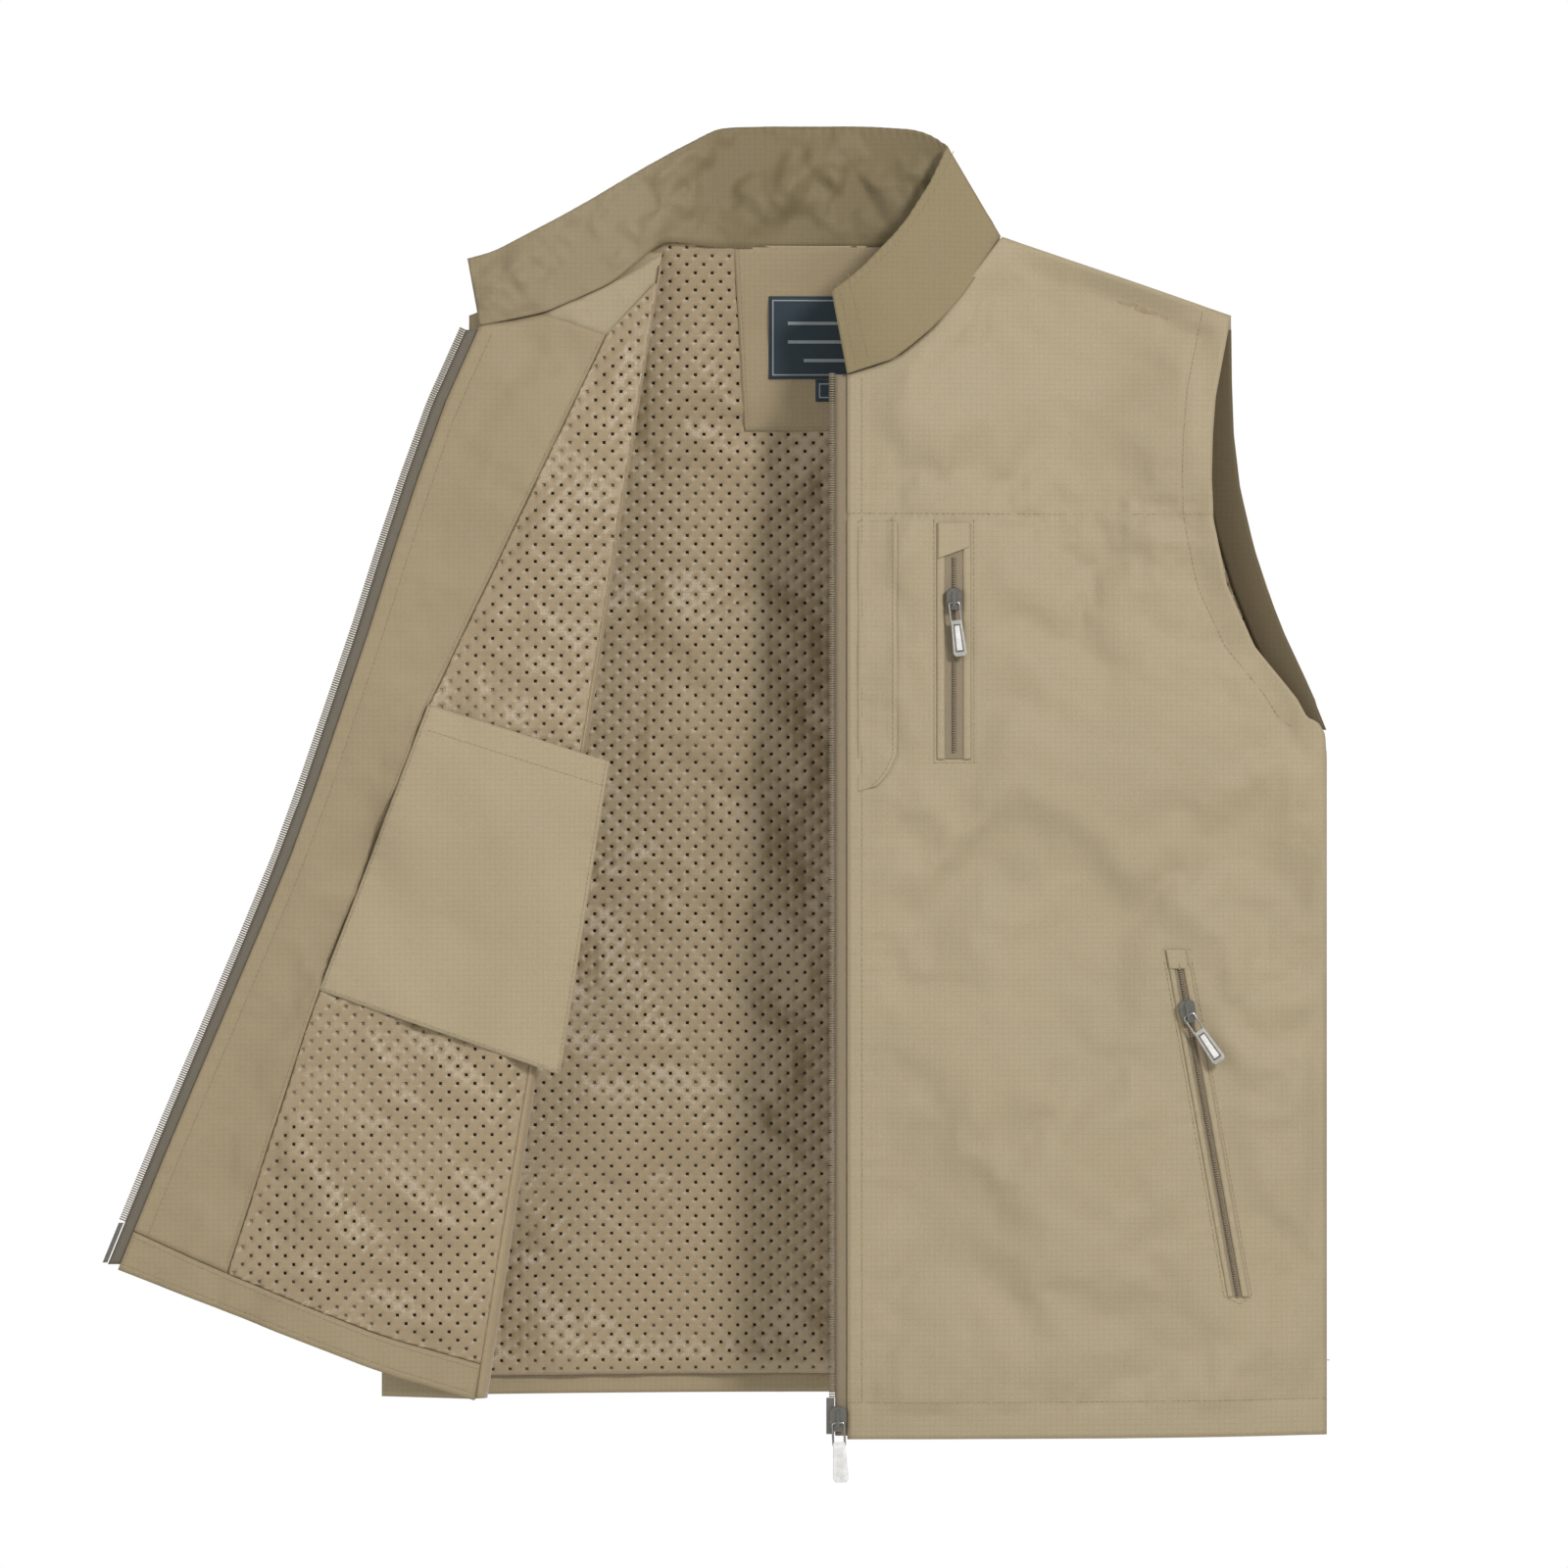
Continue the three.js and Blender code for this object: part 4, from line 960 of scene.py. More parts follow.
facing_cloth = woven("facing_cloth", (0.335, 0.265, 0.160))
# The armhole bands' cloth is a much darker copy of the facing cloth: painted shade for the inside of the
# armholes.
armhole_cloth = woven("armhole_cloth", (0.12, 0.09, 0.045))


def level(x, z):
    return np.zeros(np.shape(x))


band("back_hem_facing", "back_hem_band", level, "torso")
neck_rims = rims_of(["back_neck_facing"])
neck_facing = laid_on(
    "back_neck_facing_cloth", neck_rims, back_lining_skin, facing_cloth, 0.5 * MM, passes=14,
    relief=lambda x, z: 0.8 * MM * np.abs(noisy(x, z, 0.03, 41.0, stretch=2, turn=1.2)))
declare(neck_facing, ["back_neck_facing"])
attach(neck_facing, "torso")
neck_skin = solid_of([neck_facing.data])
neck_thread = stitched("back_neck_stitches", [
    moved(neck_rims["left"], TOPSTITCH), moved(neck_rims["right"], -TOPSTITCH),
    moved(neck_rims["foot"], up=TOPSTITCH)], neck_skin, thread)
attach(neck_thread, "torso")
# The armhole bands take the darker cloth with its painted shade.
for side in ("left", "right"):
    armhole_rims = rims_of([f"{side}_armhole_facing"])
    armhole_band = laid_on(f"{side}_armhole_band", armhole_rims, back_lining_skin, armhole_cloth, 0.5 * MM,
                           passes=8, clear=1)
    declare(armhole_band, [f"{side}_armhole_facing"])
    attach(armhole_band, "torso")
band("right_side_hem_facing", "right_side_hem_band", level, "torso")


def inner_left(x, z):
    """The left front's relief, half a millimetre further in."""
    return left_relief(x, z) - 0.5 * MM


band("left_side_hem_facing", "left_side_hem_band", inner_left, "torso", cover=left_skin)
band("left_front_hem_facing", "left_front_hem_band", inner_left, "left_front", cover=left_skin)
band("left_front_facing_cloth", "left_front_facing", left_relief, "left_front")
bag_cloth = woven("bag_cloth", (0.30, 0.24, 0.155), yarns=2400, sheen=0.1)
band("chest_pocket_bag_cloth", "chest_pocket_bag", left_relief, "left_front", colour=bag_cloth)
band("left_hand_pocket_bag_cloth", "left_hand_pocket_bag", left_relief, "torso", colour=bag_cloth)
band("right_hand_pocket_bag_cloth", "right_hand_pocket_bag", level, "torso", colour=bag_cloth)

open_facing, open_facing_rims = band("right_front_facing_cloth", "right_front_facing",
                                     lambda x, z: open_relief(x, z) + 0.3 * MM, "right_front")
open_facing_skin = solid_of([open_facing.data])
open_band, open_band_rims = band("right_front_hem_facing", "right_front_hem_band",
                                 lambda x, z: open_relief(x, z) + 0.5 * MM, "right_front")
open_band_skin = solid_of([open_band.data])
open_thread = stitched("right_facing_stitches", [
    moved(FREE_EDGE[3:-3], EDGE_STITCH),
    moved(open_facing_rims["right"][3:-3], -2 * MM)], open_facing_skin, thread)
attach(open_thread, "right_front")
open_hem_thread = stitched("right_hem_stitches", [
    moved(open_band_rims["top"], up=-3 * MM),
    moved(open_band_rims["foot"], up=4 * MM)], open_band_skin, thread)
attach(open_hem_thread, "right_front")


# Inner patch pocket: a slanted rectangle of shell cloth stitched on three sides over the open side's
# lining, with a row of stitches along the hem of its mouth.
PATCH_NEAR = [(-0.294, -0.429), (-0.156, -0.478), (-0.232, -0.265), (-0.128, -0.298)]
patch_rims = rims_of(["inner_patch_pocket"], near=PATCH_NEAR, straight=True)
for key in ("foot", "top"):
    patch_rims[key] = patch_rims[key][[0, -1]]
patch_cloth = woven("patch_cloth", (0.40, 0.325, 0.205))


def patch_relief(x, z):
    """Puckers along the pocket's stitched edges, and a slight swell between them."""
    relief = np.zeros(np.shape(x))
    for key, seed in (("left", 44.0), ("right", 45.0), ("foot", 46.0)):
        relief = relief - seam(x, z, patch_rims[key], 0.2 * MM, 1.5 * MM, 0.5 * MM, seed, reach_out=8 * MM)
    return relief + 1.0 * MM * np.abs(noisy(x, z, 0.05, 47.0))


patch = laid_on("inner_patch_pocket_cloth", patch_rims, open_lining_skin, patch_cloth, 0.7 * MM, passes=30,
                relief=patch_relief, clear=7)
declare(patch, ["inner_patch_pocket"])
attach(patch, "right_front")
patch_skin = solid_of([patch.data])
mouth = patch_rims["top"] - np.array([0, 15 * MM])
patch_thread = stitched("inner_pocket_stitches", [
    moved(patch_rims["left"], 2 * MM), moved(patch_rims["right"], -2 * MM),
    moved(patch_rims["foot"], up=2 * MM), mouth], patch_skin, thread)
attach(patch_thread, "right_front")


# The soft fold of the open side: shell and lining roll over from the side to the open front. Each is a
# half-round strip of its own cloth that meets the sheets before and behind it, and bends at the fold.
def roll(name, front, back, bulge, material, thick):
    """A half-round strip that joins the front sheet's fold edge to the back sheet's."""
    turns = np.linspace(0, math.pi, 9)
    middle, half = (front + back) / 2, (back - front) / 2
    swell = np.clip(np.linspace(1, 0.05, len(front)) * bulge, 1 * MM, bulge)
    along_x, along_y = np.array([1, 0, 0]), np.array([0, 1, 0])
    co = [middle + along_y * (half[:, 1:2] * -math.cos(t)) + along_x * swell[:, None] * math.sin(t)
          for t in turns]
    grid = np.stack(co, 1)
    rows, columns = grid.shape[:2]
    index = np.arange(rows * columns).reshape(rows, columns)
    quads = np.stack([index[:-1, :-1], index[1:, :-1], index[1:, 1:], index[:-1, 1:]], 2).reshape(-1, 4)
    piece = thin_piece(name, grid.reshape(-1, 3), quads[:, ::-1], material, thick)
    bend = across_fold(joint_of["right_front_fold"], Vector((0, -1, 0)), 2 * MM)
    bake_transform(piece, "torso", "right_front", *bend)


fold_z = np.linspace(FOLD_LINE[:, 1].min() + 1 * MM, -12 * MM, 160)
fold_x = line_at(FOLD_LINE, fold_z)


def fold_edge(names, looking, inward, shift):
    """Points down the fold on a frame sheet's face, a little in from its edge."""
    bvh = solid_of([frame["nodes"][n].data for n in names])
    y = fill_gaps(met(bvh, (fold_x + inward)[None], fold_z[None], looking))[0]
    y = np.convolve(np.pad(y, 8, mode="edge"), np.ones(17) / 17, "valid") + shift
    return np.stack([fold_x, y, fold_z], 1)


lining_front = fold_edge(["right_front_lining"], 1, -1.5 * MM, -0.1 * MM)
lining_back = fold_edge(["right_side_lining", "right_side_yoke_lining"], -1, -1.5 * MM, 0.7 * MM)
roll("right_fold_lining", lining_front, lining_back, 7 * MM, mesh_cloth, 0.4 * MM)
shell_front = fold_edge(["right_front_yoke", "right_front_panel"], 1, -1.5 * MM, 0.1 * MM)
shell_back = fold_edge(["right_side_yoke", "right_side_panel"], 1, -1.5 * MM, 0.3 * MM)
roll("right_fold_shell", shell_front, shell_back, 5 * MM, shell_cloth, CLOTH_THICK)


# Collar: a stand of two layers. The back part and the open half are one cloth that turns at the fold;
# the left half is sewn to the closed front, with rows of stitches along its end and its upper edge.
collar_cloth = woven("collar_cloth", (0.26, 0.205, 0.108))
# The inside collar's colour is multiplied by a darker colour in the share that the tone attribute gives. This
# is painted shade on the back part inside the neck, fading out towards the fold.
inside_collar = woven("inside_collar_cloth", (0.285, 0.23, 0.137))
shaded_collar_tree = inside_collar.node_tree
painted_shade_mix, painted_shade_share = shaded_collar_tree.nodes.new("ShaderNodeMix"), shaded_collar_tree.nodes.new("ShaderNodeAttribute")
painted_shade_mix.data_type, painted_shade_mix.blend_type, painted_shade_share.attribute_name = "RGBA", "MULTIPLY", "tone"
painted_shade_mix.inputs["B"].default_value = (0.72, 0.7, 0.62, 1)
shaded_collar_shader = shaded_collar_tree.nodes["Principled BSDF"]
shaded_collar_ground = next(l.from_socket for l in shaded_collar_tree.links if l.to_socket == shaded_collar_shader.inputs["Base Color"])
shaded_collar_tree.links.new(shaded_collar_ground, painted_shade_mix.inputs["A"])
shaded_collar_tree.links.new(painted_shade_share.outputs["Fac"], painted_shade_mix.inputs["Factor"])
shaded_collar_tree.links.new(painted_shade_mix.outputs["Result"], shaded_collar_shader.inputs["Base Color"])
COLLAR_NEAR = {
    "right": [(-0.203, -0.048), (-0.100, 0.003), (-0.210, -0.009), (-0.090, 0.0545)],
    "back": [(-0.097, 0.0045), (0.097, 0.0045), (-0.087, 0.056), (0.066, 0.057)],
    "left": [(0.008, -0.076), (0.097, 0.0045), (-0.001, -0.028), (0.066, 0.057)],
}


def collar_grid(parts, count=30):
    """x, z points and heights over one or two collar parts, joined side by side."""
    grids, heights = [], []
    for key, node, looking in parts:
        grid = coons(**rims_of([node], COLLAR_NEAR[key], straight=True), step=2.0 * MM)
        at = np.linspace(0, grid.shape[0] - 1.001, count)
        low, part = at.astype(int), (at % 1)[:, None, None]
        grid = grid[low] * (1 - part) + grid[low + 1] * part
        grids.append(grid)
        heights.append(cad_height([node], grid, looking, 12))
    return np.hstack(grids), np.hstack(heights)


def rims_from(grid):
    """A grid's own four rims."""
    return {"left": grid[:, 0], "right": grid[:, -1], "foot": grid[0], "top": grid[-1]}


def softened(grid, heights, passes):
    """Evens out a collar's rows from end to end."""
    for _ in range(passes):
        for values in (grid, heights):
            values[:, 1:-1] = (values[:, :-2] + values[:, 2:] + 2 * values[:, 1:-1]) / 4
    return grid, heights


def edge_gathers(grid, seed, depth=0.6 * MM, band=0.07):
    """Small zig-zag gathers along a collar's upper edge."""
    rows, columns = grid.shape[:2]
    up = np.linspace(0, 1, rows)[:, None]
    run = np.r_[0, np.cumsum(np.hypot(*np.diff(grid[-1], axis=0).T))][None]
    wave = np.sin(run / (5.2 * MM) * 2 * math.pi + 2.5 * np.sin(run / (23 * MM)) + seed)
    return depth * wave * np.exp(-((1 - up) / band) ** 2)


fold_at = Vector(joint_of["right_front_fold"]["pos_m"])
collar_bend = across_fold(joint_of["right_front_fold"], Vector((-1, 0, 0)), 9 * MM)
grid, heights = collar_grid([("right", "right_collar_facing", 1), ("back", "collar_back_facing", 1)])
grid, heights = softened(grid, heights, 10)
x, z = grid[..., 0], grid[..., 1]
up = np.linspace(0, 1, grid.shape[0])[:, None]
crush = 9.0 * MM * noisy(x, z, 0.030, 51.0, stretch=1.9, turn=0.9)
crush = crush + 4.5 * MM * noisy(x, z, 0.014, 52.0, stretch=2, turn=-0.7)
crush = np.maximum(crush + 2.5 * MM, -0.2 * MM) * np.sin(math.pi * np.clip(up, 0.04, 0.96)) ** 0.6
heights = heights - crush - edge_gathers(grid, 1.0, 0.6 * MM)
grid[0, :, 1] -= 2.5 * MM * np.clip((x[0] - fold_at.x + 20 * MM) / (15 * MM), 0, 1)
inner_collar = cloth("collar_inside", grid, heights, inside_collar, 0.4 * MM)
# tone is the share of painted shade: none up to the fold, rising to full on the back part.
tone = inner_collar.data.attributes.new("tone", "FLOAT", "POINT")
shade = [min(1, max(0, (v.co.x - fold_at.x + 15 * MM) / (45 * MM))) for v in inner_collar.data.vertices]
tone.data.foreach_set("value", shade)
rims = rims_from(grid)
declare(inner_collar, ["right_collar_facing", "collar_back_facing"])
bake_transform(inner_collar, "torso", "right_front", *collar_bend)

grid, heights = collar_grid([("right", "right_collar", -1), ("back", "collar_back", -1)])
grid, heights = softened(grid, heights, 10)
grid[0, :, 1] -= 3 * MM * np.exp(-((grid[0, :, 0] - fold_at.x) / (18 * MM)) ** 2)
x, z = grid[..., 0], grid[..., 1]
heights = heights + 1.2 * MM * np.abs(noisy(x, z, 0.05, 53.0)) + edge_gathers(grid, 2.0, 0.5 * MM)
outer_collar = cloth("collar_outside", grid, heights, collar_cloth, CLOTH_THICK, outward=1)
rims = rims_from(grid)
declare(outer_collar, ["right_collar", "collar_back"])
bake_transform(outer_collar, "torso", "right_front", *collar_bend)

grid, heights = collar_grid([("left", "left_collar", 1)], 44)
x, z = grid[..., 0], grid[..., 1]
heights = heights - 1.2 * MM * np.abs(noisy(x, z, 0.05, 54.0)) - edge_gathers(grid, 3.0)
left_collar = cloth("left_collar_outside", grid, heights, collar_cloth)
rims = rims_from(grid)
declare(left_collar, ["left_collar"])
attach(left_collar, "left_front")
left_collar_skin = solid_of([left_collar.data])
collar_thread = stitched("left_collar_stitches", [grid[3:, 3], grid[3:, 7], grid[-5, 3:]],
                         left_collar_skin, thread)
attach(collar_thread, "left_front")
grid, heights = collar_grid([("left", "left_collar_facing", -1)], 44)
left_inside = cloth("left_collar_inside", grid, heights, inside_collar, 0.4 * MM, outward=1)
# The left half's inside takes the full painted shade.
tone = left_inside.data.attributes.new("tone", "FLOAT", "POINT")
tone.data.foreach_set("value", [1.0] * len(left_inside.data.vertices))
declare(left_inside, ["left_collar_facing"])
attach(left_inside, "left_front")


# Chest pocket zip: woven tape, a nylon coil drawn as a row of short rods down its middle, a folded cloth
# lip on both sides, a small hood over its upper end and a row of stitches round it.
tape_cloth = woven("tape_cloth", (0.27, 0.215, 0.14), yarns=1500, heavy=1500, bump=0.6, sheen=0.1)
open_tape_cloth = woven("open_tape_cloth", (0.16, 0.138, 0.104), yarns=1500, heavy=1500, bump=0.6, sheen=0.1)
coil_nylon = woven("coil_nylon", (0.25, 0.205, 0.14), yarns=900, heavy=900, bump=0.2, sheen=0.0, dull=0.36,
                   gloss=0.5)
COIL_PITCH, COIL_RADIUS = 1.35 * MM, 1.15 * MM


def coil(name, path, bvh, looking=1, lift=0.5 * MM, radius=COIL_RADIUS):
    """A zip's coil as a row of short thick nylon rods along a path."""
    made = stitched(name, [path], bvh, coil_nylon, looking, lift, COIL_PITCH, 0.8 * MM, radius)
    return made


def lip(name, rims, bvh, proud, rides):
    """A narrow folded strip of shell cloth beside a zip, full in the middle."""
    grid = coons(**rims, step=1.0 * MM)
    across = np.linspace(0, 1, grid.shape[1])[None, :]
    y = fill_gaps(met(bvh, grid[..., 0], grid[..., 1])) - 0.3 * MM - proud * np.sin(math.pi * across) ** 0.5
    y = y - 0.15 * MM * noisy(grid[..., 0], grid[..., 1], 0.008, 61.0)
    made = cloth(name, grid, y, shell_cloth, 0.4 * MM)
    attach(made, rides)


LIP = 4.0 * MM
chest_rims = block(chest_low.x, chest_high.x, chest_low.z, chest_high.z)
chest_tape = laid_on("chest_zip_tape_cloth", chest_rims, left_skin, tape_cloth, 0.25 * MM, step=1.2 * MM)
declare(chest_tape, ["chest_zip_tape"])
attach(chest_tape, "left_front")
chest_tape_skin = solid_of([chest_tape.data])
hood_low, hood_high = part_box("chest_zip_hood")
chest_coil = coil("chest_zip_coil_loops", [(chest_x, chest_low.z + 4 * MM), (chest_x, hood_low.z)],
                  chest_tape_skin)
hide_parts("chest_zip_coil")
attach(chest_coil, "left_front")
for side, x0, x1 in (("left", chest_low.x - 1 * MM, chest_low.x + LIP),
                     ("right", chest_high.x - LIP, chest_high.x + 1 * MM)):
    lip(f"chest_zip_{side}_lip", block(x0, x1, chest_low.z, chest_high.z), left_skin, 0.9 * MM, "left_front")
hood_corners = [(hood_low.x, hood_low.z), (hood_high.x, hood_low.z + 7 * MM),
                (hood_low.x, hood_high.z), (hood_high.x, hood_high.z)]
hood_rims = rims_of(["chest_zip_hood"], near=hood_corners, straight=True)
hood_rims["foot"] = hood_rims["foot"][[0, -1]]
hood = laid_on("chest_zip_hood_cloth", hood_rims, left_skin, shell_cloth, 1.7 * MM, 0.5 * MM, step=1.0 * MM)
declare(hood, ["chest_zip_hood"])
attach(hood, "left_front")
row_left, row_right, row_foot = chest_low.x - TOPSTITCH, chest_high.x + TOPSTITCH, chest_low.z - 2 * MM
chest_thread = stitched("chest_zip_stitches", [
    [(row_left, row_foot), (row_left, chest_high.z)], [(row_right, row_foot), (row_right, chest_high.z)],
    [(row_left, row_foot), (row_right, row_foot)]], left_skin, thread)
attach(chest_thread, "left_front")


# Slit pocket: the panel's free edge folded back over its opening, curved in at the foot. It is a sheet
# of shell cloth laid on the left front, with one row of stitches along its free edge.
flap_rims = rims_of(["slit_pocket_flap"])


def flap_relief(x, z):
    """The flap's free edge is rolled forward, and the rest ripples a little."""
    from_edge = path_distance(x, z, flap_rims["right"][::4])[0]
    rolled = 1.3 * MM * np.exp(-(from_edge / (5 * MM)) ** 2)
    return rolled + 0.5 * MM * noisy(x, z, 0.018, 63.0, stretch=2, turn=1.5)


flap = laid_on("slit_pocket_flap_cloth", flap_rims, left_skin, shell_cloth, 0.25 * MM, 0.5 * MM,
               step=1.5 * MM, relief=flap_relief)
declare(flap, ["slit_pocket_flap"])
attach(flap, "left_front")
flap_thread = stitched("slit_pocket_stitches", [moved(flap_rims["right"], -TOPSTITCH)],
                       solid_of([flap.data]), thread)
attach(flap_thread, "left_front")


# Hand pocket zips: slanted, one on each side, with woven tape, a coil, a folded lip of shell cloth on
# both sides, a small loop of cloth over the upper end and rows of stitches round them.
HAND_HALF = 5.5 * MM
right_tape = cad_edges(["right_hand_zip_tape"]).reshape(-1, 3)[:, [0, 2]]


def middle_of(points):
    """The middle of a slanted tape's lower and upper ends."""
    low, high = points[:, 1].min(), points[:, 1].max()
    return [(points[np.abs(points[:, 1] - z) < 1 * MM][:, 0].mean(), z) for z in (low, high)]


for side, points, skin, out in (("left", hand_tape, left_skin, 1), ("right", right_tape, side_skin, -1)):
    foot, top = middle_of(points)
    rims = slanted(foot, top, -HAND_HALF, HAND_HALF)
    tape = laid_on(f"{side}_hand_zip_tape_cloth", rims, skin, tape_cloth, 0.25 * MM, step=1.2 * MM)
    declare(tape, [f"{side}_hand_zip_tape"])
    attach(tape, "torso")
    tape_skin = solid_of([tape.data])
    loops = coil(f"{side}_hand_zip_coil_loops", [foot, top], tape_skin)
    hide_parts(f"{side}_hand_zip_coil")
    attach(loops, "torso")
    outer = (1.9 * MM, 6.6 * MM) if out > 0 else (-6.6 * MM, -1.9 * MM)
    inner = (-6.2 * MM, -2.6 * MM) if out > 0 else (2.6 * MM, 6.2 * MM)
    lip(f"{side}_hand_zip_outer_lip", slanted(foot, top, *outer), skin, 1.3 * MM, "torso")
    lip(f"{side}_hand_zip_inner_lip", slanted(foot, top, *inner), skin, 0.7 * MM, "torso")
    end = np.array(top) + np.array([0, -2 * MM])
    crown = np.array(top) + np.array([-out * 2 * MM, 9 * MM])
    loop = laid_on(f"{side}_hand_zip_end_loop", slanted(end, crown, -HAND_HALF, HAND_HALF), skin, shell_cloth,
                   1.6 * MM, 0.5 * MM, step=1.0 * MM)
    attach(loop, "torso")
    below = (foot[0] + out * 1 * MM, foot[1] - 4 * MM)
    rows_of = stitched(f"{side}_hand_zip_stitches", [
        [below, (foot[0] - 8 * MM, foot[1]), (top[0] - 8 * MM, top[1])],
        [below, (foot[0] + 8 * MM, foot[1]), (top[0] + 8 * MM, top[1])],
        [(crown[0] - 7.5 * MM, crown[1]), (crown[0] + 7.5 * MM, crown[1])]], skin, thread)
    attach(rows_of, "torso")


# Main zip: woven tape and a row of nylon teeth down both front edges. The box and the pin at its foot
# are metal and stay as the frame has them.
def zip_half(side, tape_node, teeth_node, relief, rides, material):
    """One front's tape, with teeth down the middle of their frame piece."""
    tape, _ = band(f"{side}_front_tape_cloth", tape_node, relief, rides, colour=material)
    teeth_rims = rims_of([teeth_node])
    count = 80
    middle = (resample(teeth_rims["left"], count) + resample(teeth_rims["right"], count)) / 2
    half = np.hypot(*(resample(teeth_rims["left"], count) - middle).T).mean()
    loops = coil(f"{side}_front_teeth", middle, solid_of([frame["nodes"][teeth_node].data]), lift=-0.9 * MM,
                 radius=half + 0.7 * MM)
    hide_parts(teeth_node)
    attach(loops, rides)


zip_half("left", "left_front_zip_tape", "left_front_zip_teeth", level, "left_front", tape_cloth)
zip_half("right", "right_front_zip_tape", "right_front_zip_teeth", level, "right_front", open_tape_cloth)


# Sliders, box and pin: metal with dark nickel plate, worn lighter in cloudy patches and finely
# scratched. They keep the frame's own shapes, and only their finish is set here.
def nickel(name, colour, rough):
    """A plated metal finish."""
    made = bpy.data.materials.new(name)
    made.use_nodes = True
    tree = made.node_tree
    shader, maths = tree.nodes["Principled BSDF"], node_maths(tree)
    place = tree.nodes.new("ShaderNodeTexCoord")
    worn, scratches = tree.nodes.new("ShaderNodeTexNoise"), tree.nodes.new("ShaderNodeTexNoise")
    worn.inputs["Scale"].default_value, scratches.inputs["Scale"].default_value = 420, 2600
    for noise_node in (worn, scratches):
        tree.links.new(place.outputs["Object"], noise_node.inputs["Vector"])
    ramp = tree.nodes.new("ShaderNodeMix")
    ramp.data_type = "RGBA"
    ramp.inputs["A"].default_value = (*[c * 0.75 for c in colour], 1)
    ramp.inputs["B"].default_value = (*[min(1, c * 1.35) for c in colour], 1)
    tree.links.new(worn.outputs["Fac"], ramp.inputs["Factor"])
    tree.links.new(ramp.outputs["Result"], shader.inputs["Base Color"])
    tree.links.new(maths("ADD", maths("MULTIPLY", scratches.outputs["Fac"], 0.2), rough - 0.1),
                   shader.inputs["Roughness"])
    shader.inputs["Metallic"].default_value = 1.0
    return made


dark_nickel = nickel("dark_nickel", (0.26, 0.255, 0.235), 0.32)
wire_nickel = nickel("wire_nickel", (0.42, 0.41, 0.39), 0.25)
for node in ("main_slider", "chest_slider", "left_hand_slider", "right_hand_slider", "left_zip_box",
             "right_zip_pin"):
    spot = frame["nodes"][node].material_slots[0]
    spot.link, spot.material = "OBJECT", dark_nickel


# Pulls: a bent wire link through the slider's bridge and a moulded tab with a bright strip let into it.
# Each is built square at the origin, then turned into the place of its hinge, whose body it rides on.
def moulded(name, colour, rough):
    """A moulded plastic finish, mottled as the metal is."""
    made = nickel(name, colour, rough)
    made.node_tree.nodes["Principled BSDF"].inputs["Metallic"].default_value = 0.0
    return made


TABS = {"grey": moulded("grey_tab", (0.40, 0.395, 0.36), 0.42),
        "pale": moulded("pale_tab", (0.75, 0.75, 0.74), 0.45)}
strip_finish = moulded("bright_strip", (0.72, 0.71, 0.68), 0.35)
frame_finish = moulded("dark_frame", (0.10, 0.09, 0.08), 0.5)


def prism(outline, low, high, bevel, material):
    """A flat solid from its outline in local x, y, between two heights, with its edges eased."""
    count = len(outline)
    co = [(px, py, low) for px, py in outline] + [(px, py, high) for px, py in outline]
    faces = [tuple(range(count))[::-1], tuple(range(count, 2 * count))]
    faces += [(i, (i + 1) % count, (i + 1) % count + count, i + count) for i in range(count)]
    mesh = bpy.data.meshes.new("prism")
    mesh.from_pydata(co, [], faces)
    mesh.materials.append(material)
    piece = bpy.data.objects.new("prism", mesh)
    scene.collection.objects.link(piece)
    eased = piece.modifiers.new("eased", "BEVEL")
    eased.width, eased.segments = bevel, 3
    return bake(piece)


def wire_loop(half, foot, radius, material):
    """A rounded rectangle of bent wire, its top bar through the origin."""
    curve = bpy.data.curves.new("wire", "CURVE")
    curve.dimensions, curve.bevel_depth, curve.bevel_resolution = "3D", radius, 3
    spline = curve.splines.new("POLY")
    points, turn = [], 1.6 * MM
    for cx, cy, start in ((half - turn, -turn, 0), (turn - half, -turn, 90), (turn - half, foot + turn, 180),
                          (half - turn, foot + turn, 270)):
        angles = [math.radians(start + a) for a in range(0, 91, 18)]
        points += [(cx + turn * math.cos(a), cy + turn * math.sin(a), 0) for a in angles]
    spline.points.add(len(points) - 1)
    for point, co in zip(spline.points, points):
        point.co = (*co, 1)
    spline.use_cyclic_u = True
    piece = bpy.data.objects.new("wire", curve)
    scene.collection.objects.link(piece)
    made = bpy.data.meshes.new_from_object(piece.evaluated_get(bpy.context.evaluated_depsgraph_get()))
    bpy.data.objects.remove(piece)
    made.materials.clear()
    made.materials.append(material)
    made.shade_smooth()
    loop = bpy.data.objects.new("wire", made)
    scene.collection.objects.link(loop)
    return loop


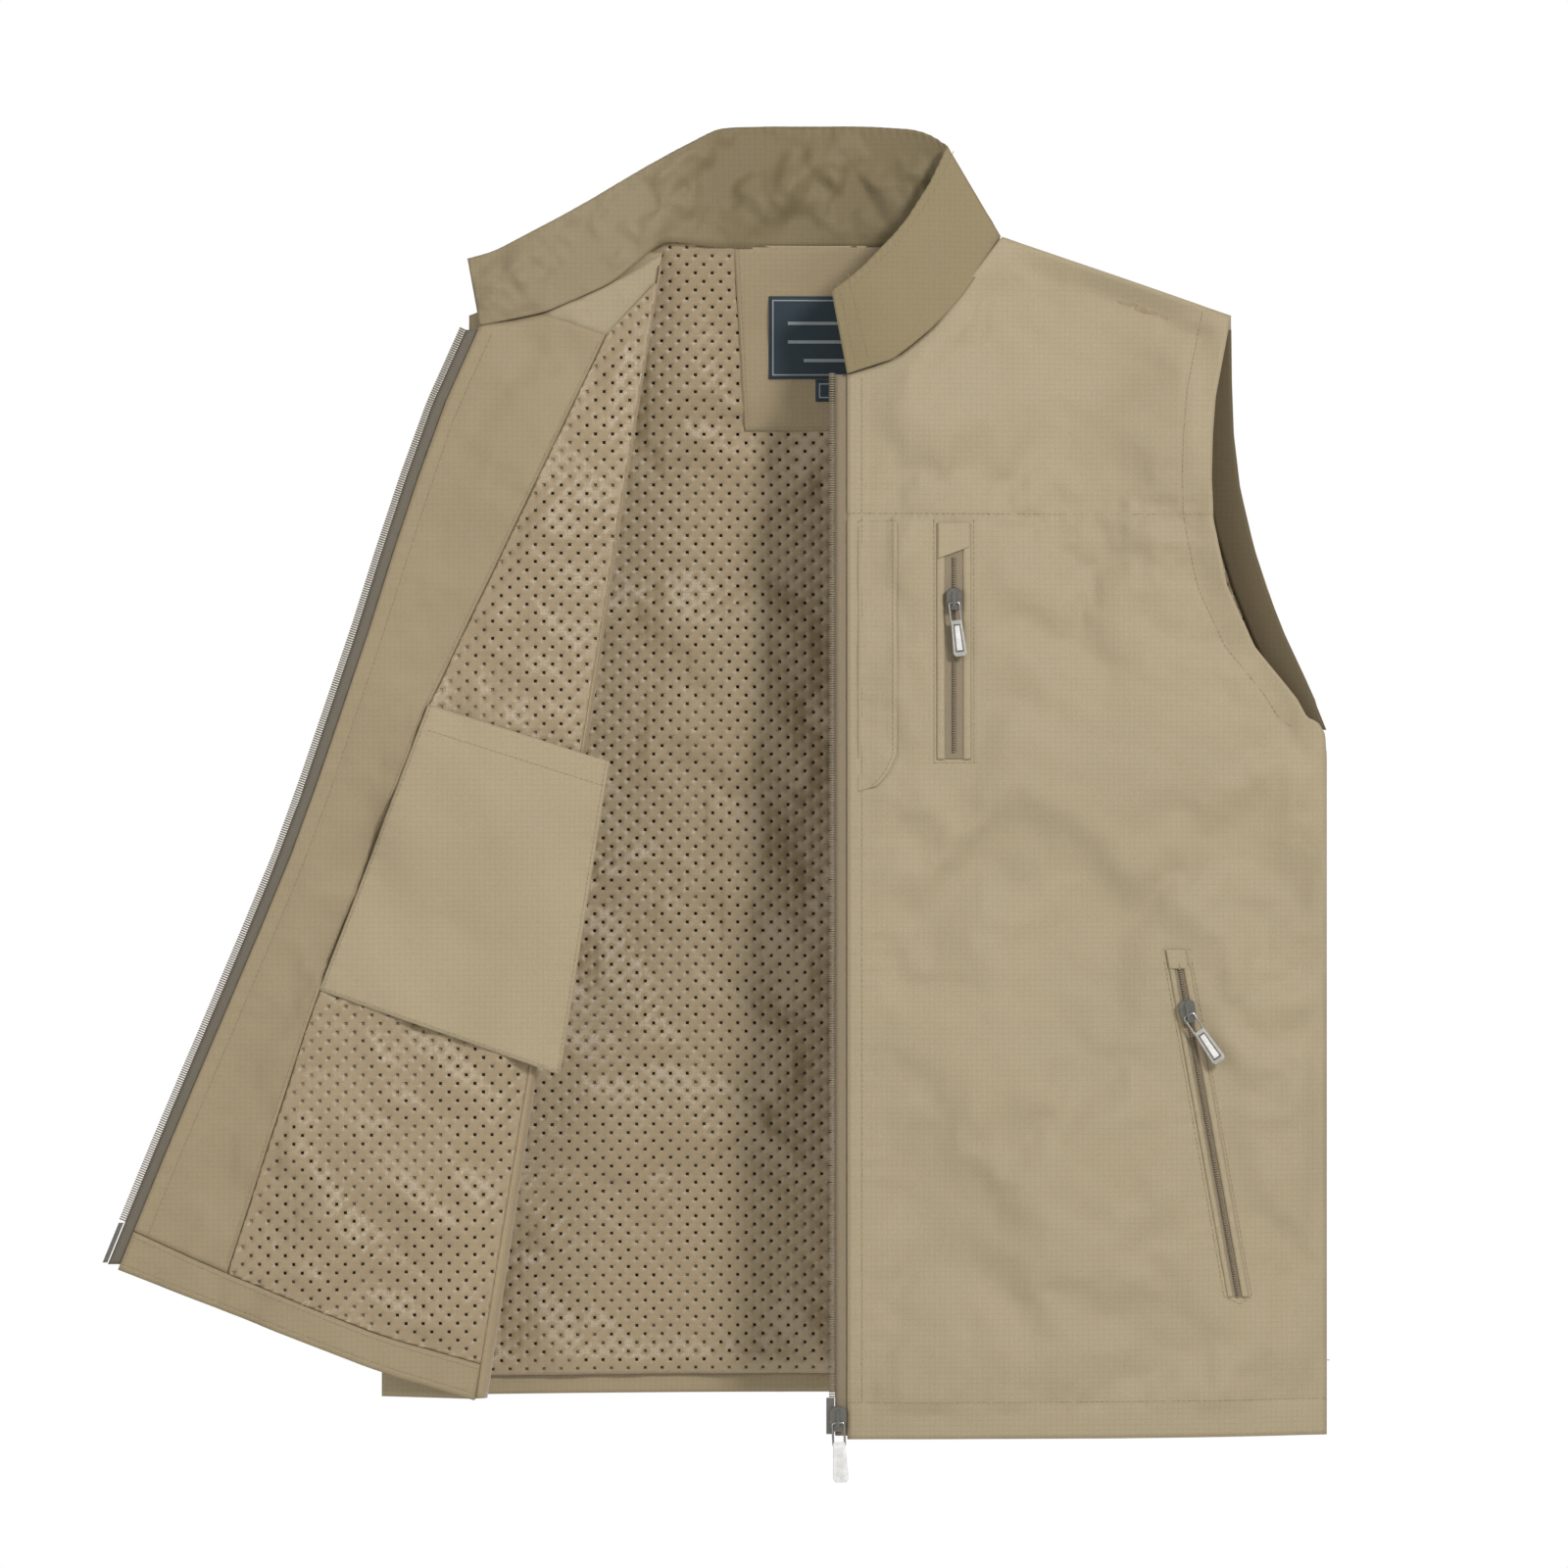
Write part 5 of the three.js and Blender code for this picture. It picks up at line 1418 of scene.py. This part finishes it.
WIRE = 0.65 * MM
for key, finish in (("main", "pale"), ("chest", "grey"), ("left_hand", "grey"), ("right_hand", "grey")):
    joint, node = joint_of[f"{key}_pull_lift"], f"{key}_pull"
    bar = Vector(joint["axis"]).normalized()
    bar = bar if bar.x > 0 else -bar
    forward = Vector((0, -1, 0))
    up = forward.cross(bar)
    at = Vector(joint["pos_m"])
    seen = [(v.co - at) for v in frame["nodes"][node].data.vertices]
    half = max(v.dot(bar) for v in seen if v.dot(up) > -6 * MM)
    foot = min(v.dot(up) for v in seen)
    neck = foot * 0.36
    wide = max(v.dot(bar) for v in seen if v.dot(up) < foot * 0.7)
    tab = [(-wide, foot + 1.8 * MM), (-wide * 0.7, foot), (wide * 0.7, foot), (wide, foot + 1.8 * MM),
           (wide * 0.78, neck + 1 * MM), (-wide * 0.78, neck + 1 * MM)]
    long_low, long_high = foot + 3.4 * MM, neck - 2.2 * MM
    inlay = [(-wide * 0.42, long_low), (wide * 0.42, long_low), (wide * 0.34, long_high),
             (-wide * 0.34, long_high)]
    rim_of = [(px * 1.45, py + (0.9 * MM if py > foot * 0.7 else -0.9 * MM)) for px, py in inlay]
    parts = [wire_loop(half - WIRE, neck - 1.5 * MM, WIRE, wire_nickel),
             prism(tab, -1.2 * MM, 1.2 * MM, 0.5 * MM, TABS[finish]),
             prism(rim_of, 1.0 * MM, 1.26 * MM, 0.05 * MM,
                   frame_finish if finish == "grey" else TABS[finish]),
             prism(inlay, 1.0 * MM, 1.42 * MM, 0.12 * MM, strip_finish)]
    with bpy.context.temp_override(active_object=parts[0], selected_editable_objects=parts, object=parts[0],
                                   selected_objects=parts):
        bpy.ops.object.join()
    pull = parts[0]
    pull.name = pull.data.name = f"{key}_pull_tab"
    turn = Matrix((bar, up, forward)).transposed().to_4x4()
    pull.data.transform(Matrix.Translation(at) @ turn)
    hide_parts(node)
    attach(pull, node)


# Neck label and size tab: dark damask with a lighter woven border, and plain bars on the label. Each is
# a small sheet laid on the back neck facing.
def label_finish(name, low, high, bars):
    """A woven patch finish: a border inside its box, and bars at shares of its height."""
    made = woven(name, (0.026, 0.043, 0.056), yarns=3200, heavy=3200, bump=0.4, sheen=0.1)
    tree = made.node_tree
    maths, shader = node_maths(tree), tree.nodes["Principled BSDF"]
    place, split = tree.nodes.new("ShaderNodeTexCoord"), tree.nodes.new("ShaderNodeSeparateXYZ")
    tree.links.new(place.outputs["Object"], split.inputs[0])
    centre, half = (low + high) / 2, (high - low) / 2
    away_x = maths("ABSOLUTE", maths("SUBTRACT", split.outputs["X"], centre.x))
    away_z = maths("ABSOLUTE", maths("SUBTRACT", split.outputs["Z"], centre.z))
    edge = maths("MAXIMUM", maths("SUBTRACT", away_x, half.x - 2.4 * MM),
                 maths("SUBTRACT", away_z, half.z - 2.4 * MM))
    marks = maths("LESS_THAN", maths("ABSOLUTE", edge), 0.35 * MM)
    for share, reach_x in bars:
        gap = maths("ABSOLUTE", maths("SUBTRACT", split.outputs["Z"], centre.z + share * half.z))
        bar = maths("MULTIPLY", maths("LESS_THAN", gap, 0.9 * MM),
                    maths("LESS_THAN", away_x, reach_x * half.x))
        marks = maths("MAXIMUM", marks, bar)
    mix = tree.nodes.new("ShaderNodeMix")
    mix.data_type = "RGBA"
    mix.inputs["B"].default_value = (0.30, 0.33, 0.35, 1)
    ground = next(l.from_socket for l in tree.links if l.to_socket == shader.inputs["Base Color"])
    tree.links.new(ground, mix.inputs["A"])
    tree.links.new(marks, mix.inputs["Factor"])
    tree.links.new(mix.outputs["Result"], shader.inputs["Base Color"])
    return made


for node, lift, bars in (("neck_label", 0.5, ((0.35, 0.7), (-0.1, 0.7), (-0.55, 0.45))),
                         ("size_tab", 0.4, ())):
    low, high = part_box(node)
    rims = block(low.x, high.x, low.z, high.z)
    label = laid_on(f"{node}_cloth", rims, neck_skin, label_finish(f"{node}_weave", low, high, bars),
                    lift * MM, passes=10, clear=2)
    declare(label, [node])
    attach(label, "torso")
